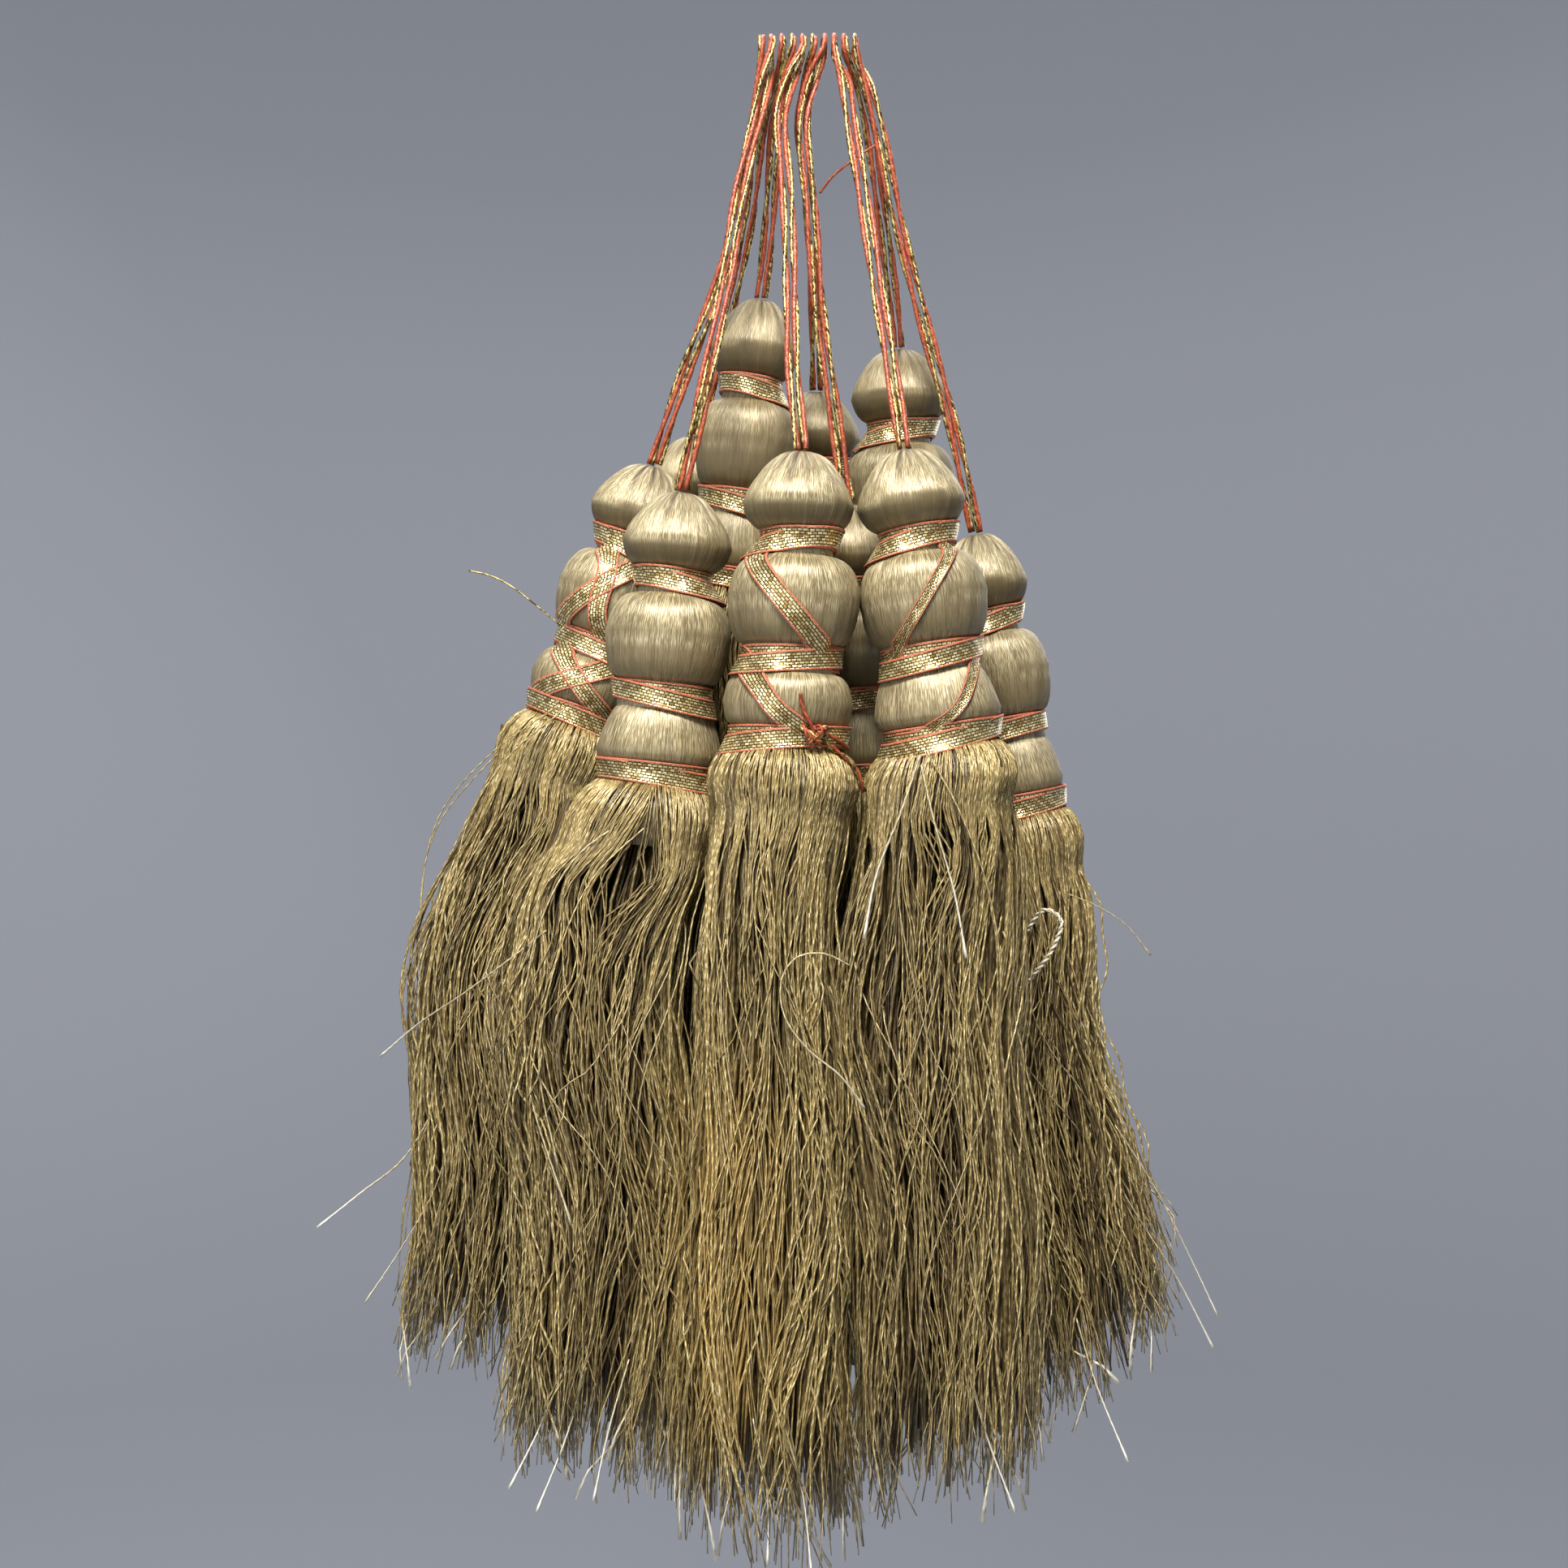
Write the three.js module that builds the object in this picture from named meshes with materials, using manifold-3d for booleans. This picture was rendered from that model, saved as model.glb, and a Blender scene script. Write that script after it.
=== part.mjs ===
// A bunch of ten long thread tassels that hang together by their cord loops.
//
// Units are millimetres, +Z is up, +X is to the right and +Y points away from the viewer.
// The origin is the middle of the row of loop crowns, and the bunch hangs below it.
// Each tassel is a three-bulb head with a skirt of locks, a ribbon round its necks and a cord loop.

import * as THREE from "three";
import { mergeVertices } from "three/addons/utils/BufferGeometryUtils.js";
import Module from "manifold-3d";

const wasm = await Module();
wasm.setup();

const DEGREE = Math.PI / 180;

// Driving sizes
const GAP = 0.3; // between neighbouring pieces
const CORD_DIAMETER = 1.5;
const CORD_SIDES = 8;
const LEG_SPACING = 1.9; // between the middles of a loop's two legs
const LEG_CROSSING = [0.9, 1.3]; // a front leg's place beside the route below the crown, across and forwards
const CROWN_RADIUS = 3; // of the turn at the top of a loop
const CROWN_TURNS = [45, 90, 135]; // degrees from the front leg to each point of that turn
const CORD_END_GAP = 0.75; // from the middle of a leg's end to the head, for the slant of the leg
const RIBBON_THICKNESS = 0.8;
const CROSSING_WIDTH = 4.2;
const CROSSING_CLEARANCE = 1.2; // a flat band bridges the round of a bulb, so its edges stand a little off
const END_CLEARANCE = 0.6; // the ends of that band lie within the turns round the neck
const LOCK_TIP = 0.3; // share of its full thickness that a lock keeps at its tip
const LOCK_ROOT = 12; // how far up inside the shoulder a lock comes to its point
const ROOT_REACH = 0.8; // how far out that point lies, as a share of the lock's place in the foot
const LOCK_EXIT = 1.5; // how far below the shoulder it has its full thickness
const SWAY = 1.4; // how far the locks of a skirt wander together
const TIP_SPREAD = 9; // how much the cut ends of a skirt differ in height
const STRAY_THICKNESS = 0.9;
const STRAY_STEPS = 3;
const STRAY_SHARES = [0.12, 0.5]; // where a stray has its full thickness and its middle
const STRAY_SAG = 0.06; // of its length

const SILK = new THREE.MeshStandardMaterial({ color: 0xb5a273, roughness: 0.45, metalness: 0.15 });
const METALLIC = new THREE.MeshStandardMaterial({ color: 0xc79a4b, roughness: 0.35, metalness: 0.6 });
const CORD = new THREE.MeshStandardMaterial({ color: 0xc0693f, roughness: 0.6, metalness: 0.2 });

// The head of a tassel of girth 1, by depth below the cord. A bulb swells from the neck above it to its
// widest point and draws in again. Its fullness is 2 for a round, and nearer 1 for a straight slope.
const TOP_RADIUS = 2.3;
const DOME = { from: 0, widest: 11.5, to: 17, radius: 11.8, upper: 1.5, lower: 1.8 };
const BALL = { from: 22.4, widest: 31.5, to: 41.6, radius: 14, upper: 2.1, lower: 2.1 };
const LOWER_BALL = { from: 47.6, widest: 54, to: 59, radius: 14, upper: 2, lower: 2.2 };
const DRUM = { from: 47.6, widest: 57, to: 59.4, radius: 13.6, upper: 1.35, lower: 2.4 };
const NECK_RADII = [7.6, 10.2, 12.1];
const SHOULDER = { from: 64.6, widest: 72, to: 77, radius: 15.6, foot: 14.4 };

// How finely a head is turned, how many locks each ring of its skirt holds, and how thick they are.
const NEAR = { sides: 12, rings: [1, 6, 12], thickness: 2.8, crossingSteps: 5 };
const FAR = { sides: 9, rings: [1, 4, 8], thickness: 3.2, crossingSteps: 4 };
const RING_REACH = [0, 0.42, 0.83]; // of a ring of locks, as a share of the skirt's half width
const OUTER_RING = 2;

// Where each tassel hangs: the top of its head, how far its foot swings to the right and to the back in
// degrees, its girth and the length of its head beside the plain one, and its third bulb.
const TASSELS = [
  { name: "t1", x: -28.4, y: -19, z: -105.7, right: -5, back: 0, girth: 1, length: 1.01, third: DRUM, make: NEAR },
  { name: "t2", x: -1.8, y: -31, z: -98.8, right: -3.2, back: 0, girth: 1, length: 1, third: LOWER_BALL, make: NEAR },
  { name: "t3", x: 20.6, y: -27, z: -97.7, right: 7, back: 0, girth: 0.99, length: 1.01, third: DRUM, make: NEAR },
  { name: "t4", x: 39.6, y: 6, z: -111.6, right: 8.6, back: 1, girth: 0.86, length: 1.03, third: DRUM, make: NEAR },
  { name: "t5", x: -36.2, y: 3.5, z: -96.1, right: -17, back: 2, girth: 0.95, length: 0.98, third: LOWER_BALL, make: NEAR },
  { name: "t6", x: -11.3, y: 12, z: -55, right: -6, back: 2, girth: 0.86, length: 1.08, third: DRUM, make: FAR },
  { name: "t7", x: 22.2, y: 21, z: -64.6, right: 1, back: 4, girth: 0.98, length: 1.02, third: LOWER_BALL, make: FAR },
  { name: "t8", x: 2.6, y: 41, z: -70.7, right: -1, back: 5, girth: 0.94, length: 1, third: LOWER_BALL, make: FAR },
  { name: "t9", x: 9.1, y: -4, z: -106.1, right: 1, back: 2, girth: 0.9, length: 1, third: DRUM, make: FAR },
  { name: "t10", x: -27.6, y: 38, z: -82.5, right: -3, back: 4, girth: 0.94, length: 1, third: LOWER_BALL, make: FAR },
];

// The skirts, a row for each height: the share of the length below the head, the middle of the skirt, and
// its half width and half depth. A front row's parting is how far its foremost locks stand aside.
const SKIRTS = {
  t1: [
    { share: 0.2, x: -43, y: -26, wide: 20, deep: 14, parting: 3.5 },
    { share: 0.6, x: -45, y: -28, wide: 17.5, deep: 14 },
    { share: 1, x: -46.5, y: -29, wide: 17, deep: 14.5 },
  ],
  t2: [
    { share: 0.2, x: -8.2, y: -33, wide: 14.5, deep: 14 },
    { share: 0.6, x: -9.6, y: -35, wide: 17, deep: 14.5 },
    { share: 1, x: -9.2, y: -36, wide: 18, deep: 15 },
  ],
  t3: [
    { share: 0.2, x: 26.4, y: -29, wide: 18, deep: 14, parting: 4 },
    { share: 0.6, x: 27.6, y: -31, wide: 17.5, deep: 14.5 },
    { share: 1, x: 27.6, y: -33, wide: 17, deep: 15 },
  ],
  t4: [
    { share: 0.2, x: 53, y: 6, wide: 14, deep: 14 },
    { share: 0.6, x: 57, y: 5, wide: 15.5, deep: 15.5 },
    { share: 1, x: 66, y: 4, wide: 17.5, deep: 17 },
  ],
  t5: [
    { share: 0.18, x: -70.5, y: 3, wide: 16, deep: 14.5 },
    { share: 0.6, x: -75, y: 3, wide: 15.5, deep: 15.5 },
    { share: 1, x: -81, y: 2, wide: 16.5, deep: 16.5 },
  ],
  t6: [
    { share: 0.2, x: -21, y: 15, wide: 13, deep: 12.5 },
    { share: 0.6, x: -20.5, y: 16, wide: 14, deep: 12.5 },
    { share: 1, x: -20, y: 16, wide: 15, deep: 13 },
  ],
  t7: [
    { share: 0.2, x: 25, y: 27, wide: 14.5, deep: 14 },
    { share: 0.6, x: 28, y: 30, wide: 16, deep: 15 },
    { share: 1, x: 31, y: 33, wide: 17, deep: 16 },
  ],
  t8: [
    { share: 0.2, x: 0, y: 49, wide: 14.5, deep: 14 },
    { share: 0.6, x: -1, y: 52, wide: 15, deep: 14.5 },
    { share: 1, x: -2, y: 56, wide: 16, deep: 15.5 },
  ],
  t9: [
    { share: 0.2, x: 11, y: -1, wide: 14, deep: 12.5 },
    { share: 0.6, x: 12, y: 0, wide: 15, deep: 13 },
    { share: 1, x: 13, y: 0, wide: 16, deep: 13.5 },
  ],
  t10: [
    { share: 0.2, x: -35, y: 40, wide: 14.5, deep: 14 },
    { share: 0.6, x: -39, y: 42, wide: 16, deep: 15 },
    { share: 1, x: -43, y: 44, wide: 17, deep: 16 },
  ],
};

// The height of each skirt's tips, and how much higher they are at its right edge than in its middle.
const TIPS = {
  t1: { z: -313, slant: -3 },
  t2: { z: -323, slant: -4 },
  t3: { z: -316, slant: 2 },
  t4: { z: -303, slant: 9 },
  t5: { z: -300, slant: -4 },
  t6: { z: -268, slant: 0 },
  t7: { z: -290, slant: 2 },
  t8: { z: -293, slant: 0 },
  t9: { z: -311, slant: 0 },
  t10: { z: -299, slant: -2 },
};

// Bands that cross a bulb from the neck above to the neck below, by their angle round the head at each
// end: 0 is the front, 90 the right side and 180 the back.
const CROSSINGS = [
  { tassel: "t1", bulb: 1, from: 150, to: 205 },
  { tassel: "t1", bulb: 2, from: 165, to: 215 },
  { tassel: "t2", bulb: 1, from: -58, to: 34 },
  { tassel: "t2", bulb: 2, from: -50, to: 12 },
  { tassel: "t3", bulb: 1, from: 42, to: -42 },
  { tassel: "t3", bulb: 2, from: 58, to: -6 },
  { tassel: "t4", bulb: 1, from: 160, to: 215 },
  { tassel: "t4", bulb: 2, from: 150, to: 200 },
  { tassel: "t5", bulb: 1, from: -24, to: 10 },
  { tassel: "t5", bulb: 1, from: 34, to: -62 },
  { tassel: "t5", bulb: 2, from: 36, to: -54 },
  { tassel: "t5", bulb: 2, from: -44, to: 30 },
  { tassel: "t6", bulb: 1, from: 150, to: 205 },
  { tassel: "t6", bulb: 2, from: 160, to: 210 },
  { tassel: "t7", bulb: 1, from: 150, to: 205 },
  { tassel: "t7", bulb: 2, from: 160, to: 210 },
  { tassel: "t8", bulb: 1, from: 150, to: 205 },
  { tassel: "t8", bulb: 2, from: 160, to: 210 },
  { tassel: "t9", bulb: 1, from: 155, to: 205 },
  { tassel: "t9", bulb: 2, from: 160, to: 210 },
  { tassel: "t10", bulb: 1, from: 150, to: 205 },
  { tassel: "t10", bulb: 2, from: 160, to: 210 },
];

// The middle line of each doubled cord, from the crown of its loop down towards the head.
const ROUTES = {
  t1: [[-8.4, 0, 0], [-9.8, -2.1, -7], [-11.4, -4.2, -15.6], [-15.3, -7.9, -33.2], [-19, -13.4, -58.7], [-23.4, -18.8, -83]],
  t2: [[-1.2, 0, 0], [-3.9, -2.9, -7], [-6.2, -5.7, -16.7], [-4.9, -11.8, -37.2], [-4.2, -18.7, -60.1], [-3.6, -25.1, -80.4]],
  t3: [[6, 0, 0], [8.2, -2.4, -7], [9.4, -4.9, -15.9], [12.3, -10.4, -36.9], [15.3, -16.4, -59.5], [17.9, -21.4, -77.8]],
  t4: [[10.8, 0, 0], [13.4, -0.3, -7], [16.4, 0.1, -18.3], [20.6, 1.5, -38], [26.4, 2.9, -60], [34.5, 4.5, -89]],
  t5: [[-10.8, 0, 0], [-10.8, -0.3, -7], [-11.8, -0.6, -15.2], [-15.6, 0, -33.6], [-20.4, 0.6, -53], [-28, 1.3, -72.5]],
  t6: [[-3.6, 0, 0], [-5.4, 2.1, -7], [-7.4, 4.1, -15], [-8.2, 6.4, -25], [-9, 8.5, -35], [-9.9, 10.4, -45]],
  t7: [[8.4, 0, 0], [11.9, 3, -7], [14.2, 5.8, -14.5], [16.2, 9.1, -25.5], [18.2, 12.7, -37.5], [20.2, 16.5, -50]],
  t8: [[1.2, 0, 0], [-0.4, 4.6, -7], [-1.4, 9.3, -14], [0.2, 16.8, -26], [1.5, 24.6, -40], [2.3, 32.6, -55]],
  t9: [[3.6, 0, 0], [1, -0.8, -7], [-1.1, -1.6, -17], [0.6, -2.2, -38], [2.6, -2.8, -62], [5.8, -3.3, -84]],
  t10: [[-6, 0, 0], [-8.3, 4.5, -7], [-11.2, 7.8, -15], [-14.1, 16.5, -34.4], [-18.3, 25, -50.8], [-22.5, 32, -65.5]],
};

// The loops whose front leg comes down on the right. The others turn the other way.
const TURNED_RIGHT = ["t10"];

// Single threads that stand off from a skirt: the lock of the outer ring that each leaves, counted from
// the front towards the right, how far down it leaves, and where its tip hangs.
const STRAYS = [
  { tassel: "t5", lock: 9, leaves: 0.62, x: -100, y: 0, z: -234 },
  { tassel: "t5", lock: 9, leaves: 0.78, x: -114, y: -3, z: -274 },
  { tassel: "t4", lock: 2, leaves: 0.8, x: 95, y: 0, z: -302 },
  { tassel: "t4", lock: 0, leaves: 0.85, x: 69, y: -22, z: -322 },
  { tassel: "t1", lock: 10, leaves: 0.88, x: -63, y: -42, z: -319 },
  { tassel: "t2", lock: 0, leaves: 0.9, x: 1, y: -52, z: -333 },
];

// One tassel's own copy of the head's sizes, thickened by its girth and drawn out by its length.
function headOf({ girth, length, third }) {
  const bulbs = [DOME, BALL, third].map((bulb) => ({
    ...bulb,
    from: bulb.from * length,
    widest: bulb.widest * length,
    to: bulb.to * length,
    radius: bulb.radius * girth,
  }));
  const shoulder = {
    from: SHOULDER.from * length,
    widest: SHOULDER.widest * length,
    to: SHOULDER.to * length,
    radius: SHOULDER.radius * girth,
    foot: SHOULDER.foot * girth,
  };
  const below = [bulbs[1], bulbs[2], shoulder];
  const necks = NECK_RADII.map((radius, i) => {
    return { radius: radius * girth, from: bulbs[i].to, to: below[i].from };
  });
  return { bulbs, necks, shoulder };
}

// Radius of a bulb at depth t, between the radii of the necks above and below it.
function bulbRadius(head, index, t) {
  const bulb = head.bulbs[index];
  const upper = t < bulb.widest;
  const neckAbove = index === 0 ? TOP_RADIUS : head.necks[index - 1].radius;
  const edge = upper ? neckAbove : head.necks[index].radius;
  const fullness = upper ? bulb.upper : bulb.lower;
  const reach = upper ? bulb.widest - bulb.from : bulb.to - bulb.widest;
  const share = Math.min(1, Math.abs(t - bulb.widest) / reach);
  return edge + (bulb.radius - edge) * (1 - share ** fullness) ** (1 / fullness);
}

// Where an outline has its points, as shares of a bulb's upper and lower reach. At the first share of
// its own reach the shoulder has swelled by the second.
const DOME_STOPS = [0.15, 0.5, 1];
const BULB_STOPS = [0.35, 1];
const LOWER_STOP = 0.75;
const SHOULDER_STOP = [0.35, 0.7];

// The head's outline as [radius, depth] pairs, from the top of the axis to the foot of the shoulder.
function headOutline(head) {
  const outline = [[0, 0], [TOP_RADIUS, 0]];
  head.bulbs.forEach((bulb, index) => {
    for (const stop of index === 0 ? DOME_STOPS : BULB_STOPS) {
      const t = bulb.from + stop * (bulb.widest - bulb.from);
      outline.push([bulbRadius(head, index, t), t]);
    }
    const low = bulb.widest + LOWER_STOP * (bulb.to - bulb.widest);
    const neck = head.necks[index];
    outline.push([bulbRadius(head, index, low), low], [neck.radius, neck.from], [neck.radius, neck.to]);
  });
  const { from, widest, to, radius, foot } = head.shoulder;
  const neck = head.necks[2].radius;
  const [share, swell] = SHOULDER_STOP;
  outline.push([neck + swell * (radius - neck), from + share * (widest - from)]);
  outline.push([radius, widest], [foot, to], [0, to]);
  return outline;
}

// A turned solid from its outline, hanging down its own axis.
function turned(outline, sides) {
  const points = outline.map(([radius, depth]) => new THREE.Vector2(radius, -depth)).reverse();
  return new THREE.LatheGeometry(points, sides).rotateX(Math.PI / 2);
}

// A closed solid through cross-sections of equal point counts. It starts with a flat end, or at a point
// where one is given, and ends flat.
function skinned(sections, apex = null) {
  const count = sections[0].length;
  const points = apex ? [...sections.flat(), apex] : sections.flat();
  const position = points.flatMap((p) => [p.x, p.y, p.z]);
  const index = [];
  for (let k = 0; k + 1 < sections.length; k++) {
    for (let i = 0; i < count; i++) {
      const a = k * count + i;
      const b = k * count + ((i + 1) % count);
      index.push(a, b, b + count, a, b + count, a + count);
    }
  }
  const last = (sections.length - 1) * count;
  for (let i = 1; i + 1 < count; i++) {
    index.push(last, last + i, last + i + 1);
    if (!apex) index.push(0, i + 1, i);
  }
  if (apex) for (let i = 0; i < count; i++) index.push(points.length - 1, (i + 1) % count, i);
  const geometry = new THREE.BufferGeometry();
  geometry.setAttribute("position", new THREE.Float32BufferAttribute(position, 3));
  geometry.setIndex(index);
  return geometry;
}

// A closed three.js geometry as a solid that can be joined to others.
function solid(geometry) {
  const bare = geometry.clone();
  bare.deleteAttribute("normal");
  bare.deleteAttribute("uv");
  const merged = mergeVertices(bare, 1e-3);
  const vertProperties = merged.attributes.position.array;
  const triVerts = new Uint32Array(merged.index.array);
  return new wasm.Manifold(new wasm.Mesh({ numProp: 3, vertProperties, triVerts }));
}

// Several closed geometries joined into one.
function joined(geometries) {
  const whole = geometries.map(solid).reduce((sum, next) => sum.add(next));
  const { vertProperties, triVerts } = whole.getMesh();
  const geometry = new THREE.BufferGeometry();
  geometry.setAttribute("position", new THREE.BufferAttribute(vertProperties, 3));
  geometry.setIndex(new THREE.BufferAttribute(triVerts, 1));
  geometry.computeVertexNormals();
  return geometry;
}

// How a head is turned from upright, so that its foot swings to the right and to the back.
function leanOf(tassel) {
  return new THREE.Euler(tassel.back * DEGREE, -tassel.right * DEGREE, 0);
}

// A point of the head's own frame, set in the bunch's frame.
function inBunch(tassel, x, y, depth) {
  const top = new THREE.Vector3(tassel.x, tassel.y, tassel.z);
  return new THREE.Vector3(x, y, -depth).applyEuler(leanOf(tassel)).add(top);
}

// A lock of three sides, thinning to its tip, with one edge turned outwards. It grows from a point at
// its root to its full thickness at the start of its curve.
function lockGeometry({ root, curve, angle }, thickness, steps) {
  const sections = [];
  for (let k = 0; k <= steps; k++) {
    const share = k / steps;
    const radius = thickness * (1 - (1 - LOCK_TIP) * share ** 4);
    const middle = curve.getPoint(share);
    const corners = [0, 120, 240].map((corner) => {
      const turn = angle - corner * DEGREE;
      return new THREE.Vector3(radius * Math.sin(turn), -radius * Math.cos(turn), 0).add(middle);
    });
    sections.push(corners);
  }
  return skinned(sections, root);
}

// The curve of one lock below the head. It leaves the head square to its foot, then keeps its place in
// the skirt's cross-section all the way down, so that no two locks cross.
function lockCurve(tassel, head, across, along, order) {
  const { foot, to } = head.shoulder;
  const rows = SKIRTS[tassel.name];
  const tips = TIPS[tassel.name];
  const points = [inBunch(tassel, across * foot, along * foot, to + LOCK_EXIT)];
  const footZ = inBunch(tassel, 0, 0, to).z;
  const trim = (TIP_SPREAD / 2) * Math.sin(2.4 * order) + tips.slant * across;
  for (const { share, x, y, wide, deep, parting = 0 } of rows) {
    const sway = SWAY * Math.sin(7 * share + tassel.x);
    const aside = parting * Math.sign(across) * Math.max(0, -along) * (1 - Math.abs(across));
    const z = footZ + (tips.z - footZ + trim) * share;
    points.push(new THREE.Vector3(x + across * wide + sway + aside, y + along * deep + sway / 3, z));
  }
  return new THREE.CatmullRomCurve3(points);
}

// Every lock of one skirt, ring by ring from the middle, each with its angle from the front.
function skirtLocks(tassel, head) {
  const { foot, to } = head.shoulder;
  return tassel.make.rings.flatMap((count, ring) =>
    Array.from({ length: count }, (_, i) => {
      const angle = ((i + 0.5) / count) * 2 * Math.PI;
      const across = RING_REACH[ring] * Math.sin(angle);
      const along = -RING_REACH[ring] * Math.cos(angle);
      const root = inBunch(tassel, ROOT_REACH * across * foot, ROOT_REACH * along * foot, to - LOCK_ROOT);
      const curve = lockCurve(tassel, head, across, along, ring + i);
      return { ring, order: i, angle, root, curve };
    }),
  );
}

// A thread that leaves an outer lock and hangs off by itself.
function strayGeometry(locks, row) {
  const parent = locks.find(({ ring, order }) => ring === OUTER_RING && order === row.lock);
  const root = parent.curve.getPoint(row.leaves);
  const tip = new THREE.Vector3(row.x, row.y, row.z);
  const [start, middle] = STRAY_SHARES.map((share) => root.clone().lerp(tip, share));
  middle.z -= STRAY_SAG * root.distanceTo(tip);
  const curve = new THREE.CatmullRomCurve3([start, middle, tip]);
  return lockGeometry({ root, curve, angle: 0 }, STRAY_THICKNESS, STRAY_STEPS);
}

// Head and skirt as one solid, in a frame that is upright and starts at the tassel's top.
function bodyGeometry(tassel, head) {
  const body = turned(headOutline(head), tassel.make.sides);
  body.applyMatrix4(new THREE.Matrix4().makeRotationFromEuler(leanOf(tassel)));
  const locks = skirtLocks(tassel, head);
  const steps = SKIRTS[tassel.name].length;
  const hanging = locks.map((lock) => lockGeometry(lock, tassel.make.thickness, steps));
  const strays = STRAYS.filter((row) => row.tassel === tassel.name).map((row) => strayGeometry(locks, row));
  const threads = [...hanging, ...strays];
  threads.forEach((geometry) => geometry.translate(-tassel.x, -tassel.y, -tassel.z));
  return joined([body, ...threads]);
}

// A flat band laid over a bulb between the middles of the necks above and below it.
function crossingBand(tassel, head, row) {
  const { radius } = head.bulbs[row.bulb];
  const [above, below] = [head.necks[row.bulb - 1], head.necks[row.bulb]];
  const start = (above.from + above.to) / 2;
  const drop = (below.from + below.to) / 2 - start;
  const turn = (row.to - row.from) * DEGREE;
  const side = Math.sign(turn);
  const slant = Math.hypot(drop, turn * radius);
  const halfDepth = (0.5 * CROSSING_WIDTH * Math.abs(turn) * radius) / slant;
  const halfTurn = (0.5 * CROSSING_WIDTH * drop) / slant / radius;
  const steps = tassel.make.crossingSteps;
  const sections = [];
  for (let k = 0; k <= steps; k++) {
    const share = k / steps;
    const inner = k === 0 || k === steps ? END_CLEARANCE : CROSSING_CLEARANCE;
    const outer = inner + RIBBON_THICKNESS;
    const corner = (edge, clearance) => {
      const t = start + drop * share + edge * halfDepth;
      const angle = row.from * DEGREE + turn * share - side * edge * halfTurn;
      const reach = bulbRadius(head, row.bulb, t) + clearance;
      return new THREE.Vector3(reach * Math.sin(angle), -reach * Math.cos(angle), -t);
    };
    sections.push([corner(-side, outer), corner(side, outer), corner(side, inner), corner(-side, inner)]);
  }
  return skinned(sections);
}

// The ribbon's turns round one neck, as a flat ring.
function neckBand(neck, sides) {
  const inner = neck.radius + GAP / Math.cos(Math.PI / sides);
  const outer = inner + RIBBON_THICKNESS + GAP;
  const [from, to] = [neck.from + GAP, neck.to - GAP];
  return turned([[inner, from], [outer, from], [outer, to], [inner, to], [inner, from]], sides);
}

function ribbonGeometry(tassel, head) {
  const bands = head.necks.map((neck) => neckBand(neck, tassel.make.sides));
  const rows = CROSSINGS.filter((row) => row.tassel === tassel.name);
  return joined([...bands, ...rows.map((row) => crossingBand(tassel, head, row))]);
}

// A cord loop: up one leg, over the crown from front to back, and down the other leg. The legs lie in
// front of each other at the crown and turn to hang side by side.
function loopCurve(tassel) {
  const route = ROUTES[tassel.name].map((p) => new THREE.Vector3(...p));
  const top = new THREE.Vector3(tassel.x, tassel.y, tassel.z);
  const upwards = route[route.length - 1].clone().sub(top).normalize();
  route.push(top.addScaledVector(upwards, CORD_END_GAP));
  const twist = TURNED_RIGHT.includes(tassel.name) ? 1 : -1;
  const beside = new THREE.Vector3((twist * LEG_SPACING) / 2, 0, 0);
  const crossing = new THREE.Vector3(twist * LEG_CROSSING[0], -LEG_CROSSING[1], 0);
  const before = new THREE.Vector3(0, -CROWN_RADIUS, 0);
  const offsets = [before, crossing, beside];
  const leg = (side) => route.map((p, i) => p.clone().addScaledVector(offsets[Math.min(i, 2)], side));
  const crown = CROWN_TURNS.map((turn) => {
    const around = new THREE.Vector3(0, -Math.cos(turn * DEGREE), Math.sin(turn * DEGREE));
    return route[0].clone().addScaledVector(around, CROWN_RADIUS);
  });
  return new THREE.CatmullRomCurve3([...leg(1).reverse(), ...crown, ...leg(-1)]);
}

function loopGeometry(tassel) {
  const path = loopCurve(tassel);
  path.getUtoTmapping = (share) => share; // one step from each point of the route to the next
  const section = new THREE.Shape().absarc(0, 0, CORD_DIAMETER / 2, 0, 2 * Math.PI);
  const steps = path.points.length - 1;
  return new THREE.ExtrudeGeometry(section, { steps, curveSegments: CORD_SIDES / 2, extrudePath: path });
}

const bunch = new THREE.Group();
for (const tassel of TASSELS) {
  const head = headOf(tassel);
  const group = new THREE.Group();
  group.position.set(tassel.x, tassel.y, tassel.z);

  const body = new THREE.Mesh(bodyGeometry(tassel, head), SILK);
  body.name = `tassel_${tassel.name}`;
  group.add(body);

  const ribbon = new THREE.Mesh(ribbonGeometry(tassel, head), METALLIC);
  ribbon.name = `ribbon_${tassel.name}`;
  ribbon.rotation.copy(leanOf(tassel));
  group.add(ribbon);
  bunch.add(group);

  const loop = new THREE.Mesh(loopGeometry(tassel), CORD);
  loop.name = `loop_${tassel.name}`;
  bunch.add(loop);
}

export default bunch;
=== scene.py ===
"""Look of the tassel bunch: ten antique gold thread tassels that hang together by their loops.

Sizes are in millimetres until a mesh is made, in the bunch's frame: X to the right, Y to the back and
Z up, with the crowns of the loops at the origin. Angles round a head or skirt start at its front and
run towards its right side.
"""

import logging
import math
from dataclasses import dataclass, field
from enum import Enum
from typing import Any, Sequence, Union

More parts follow.
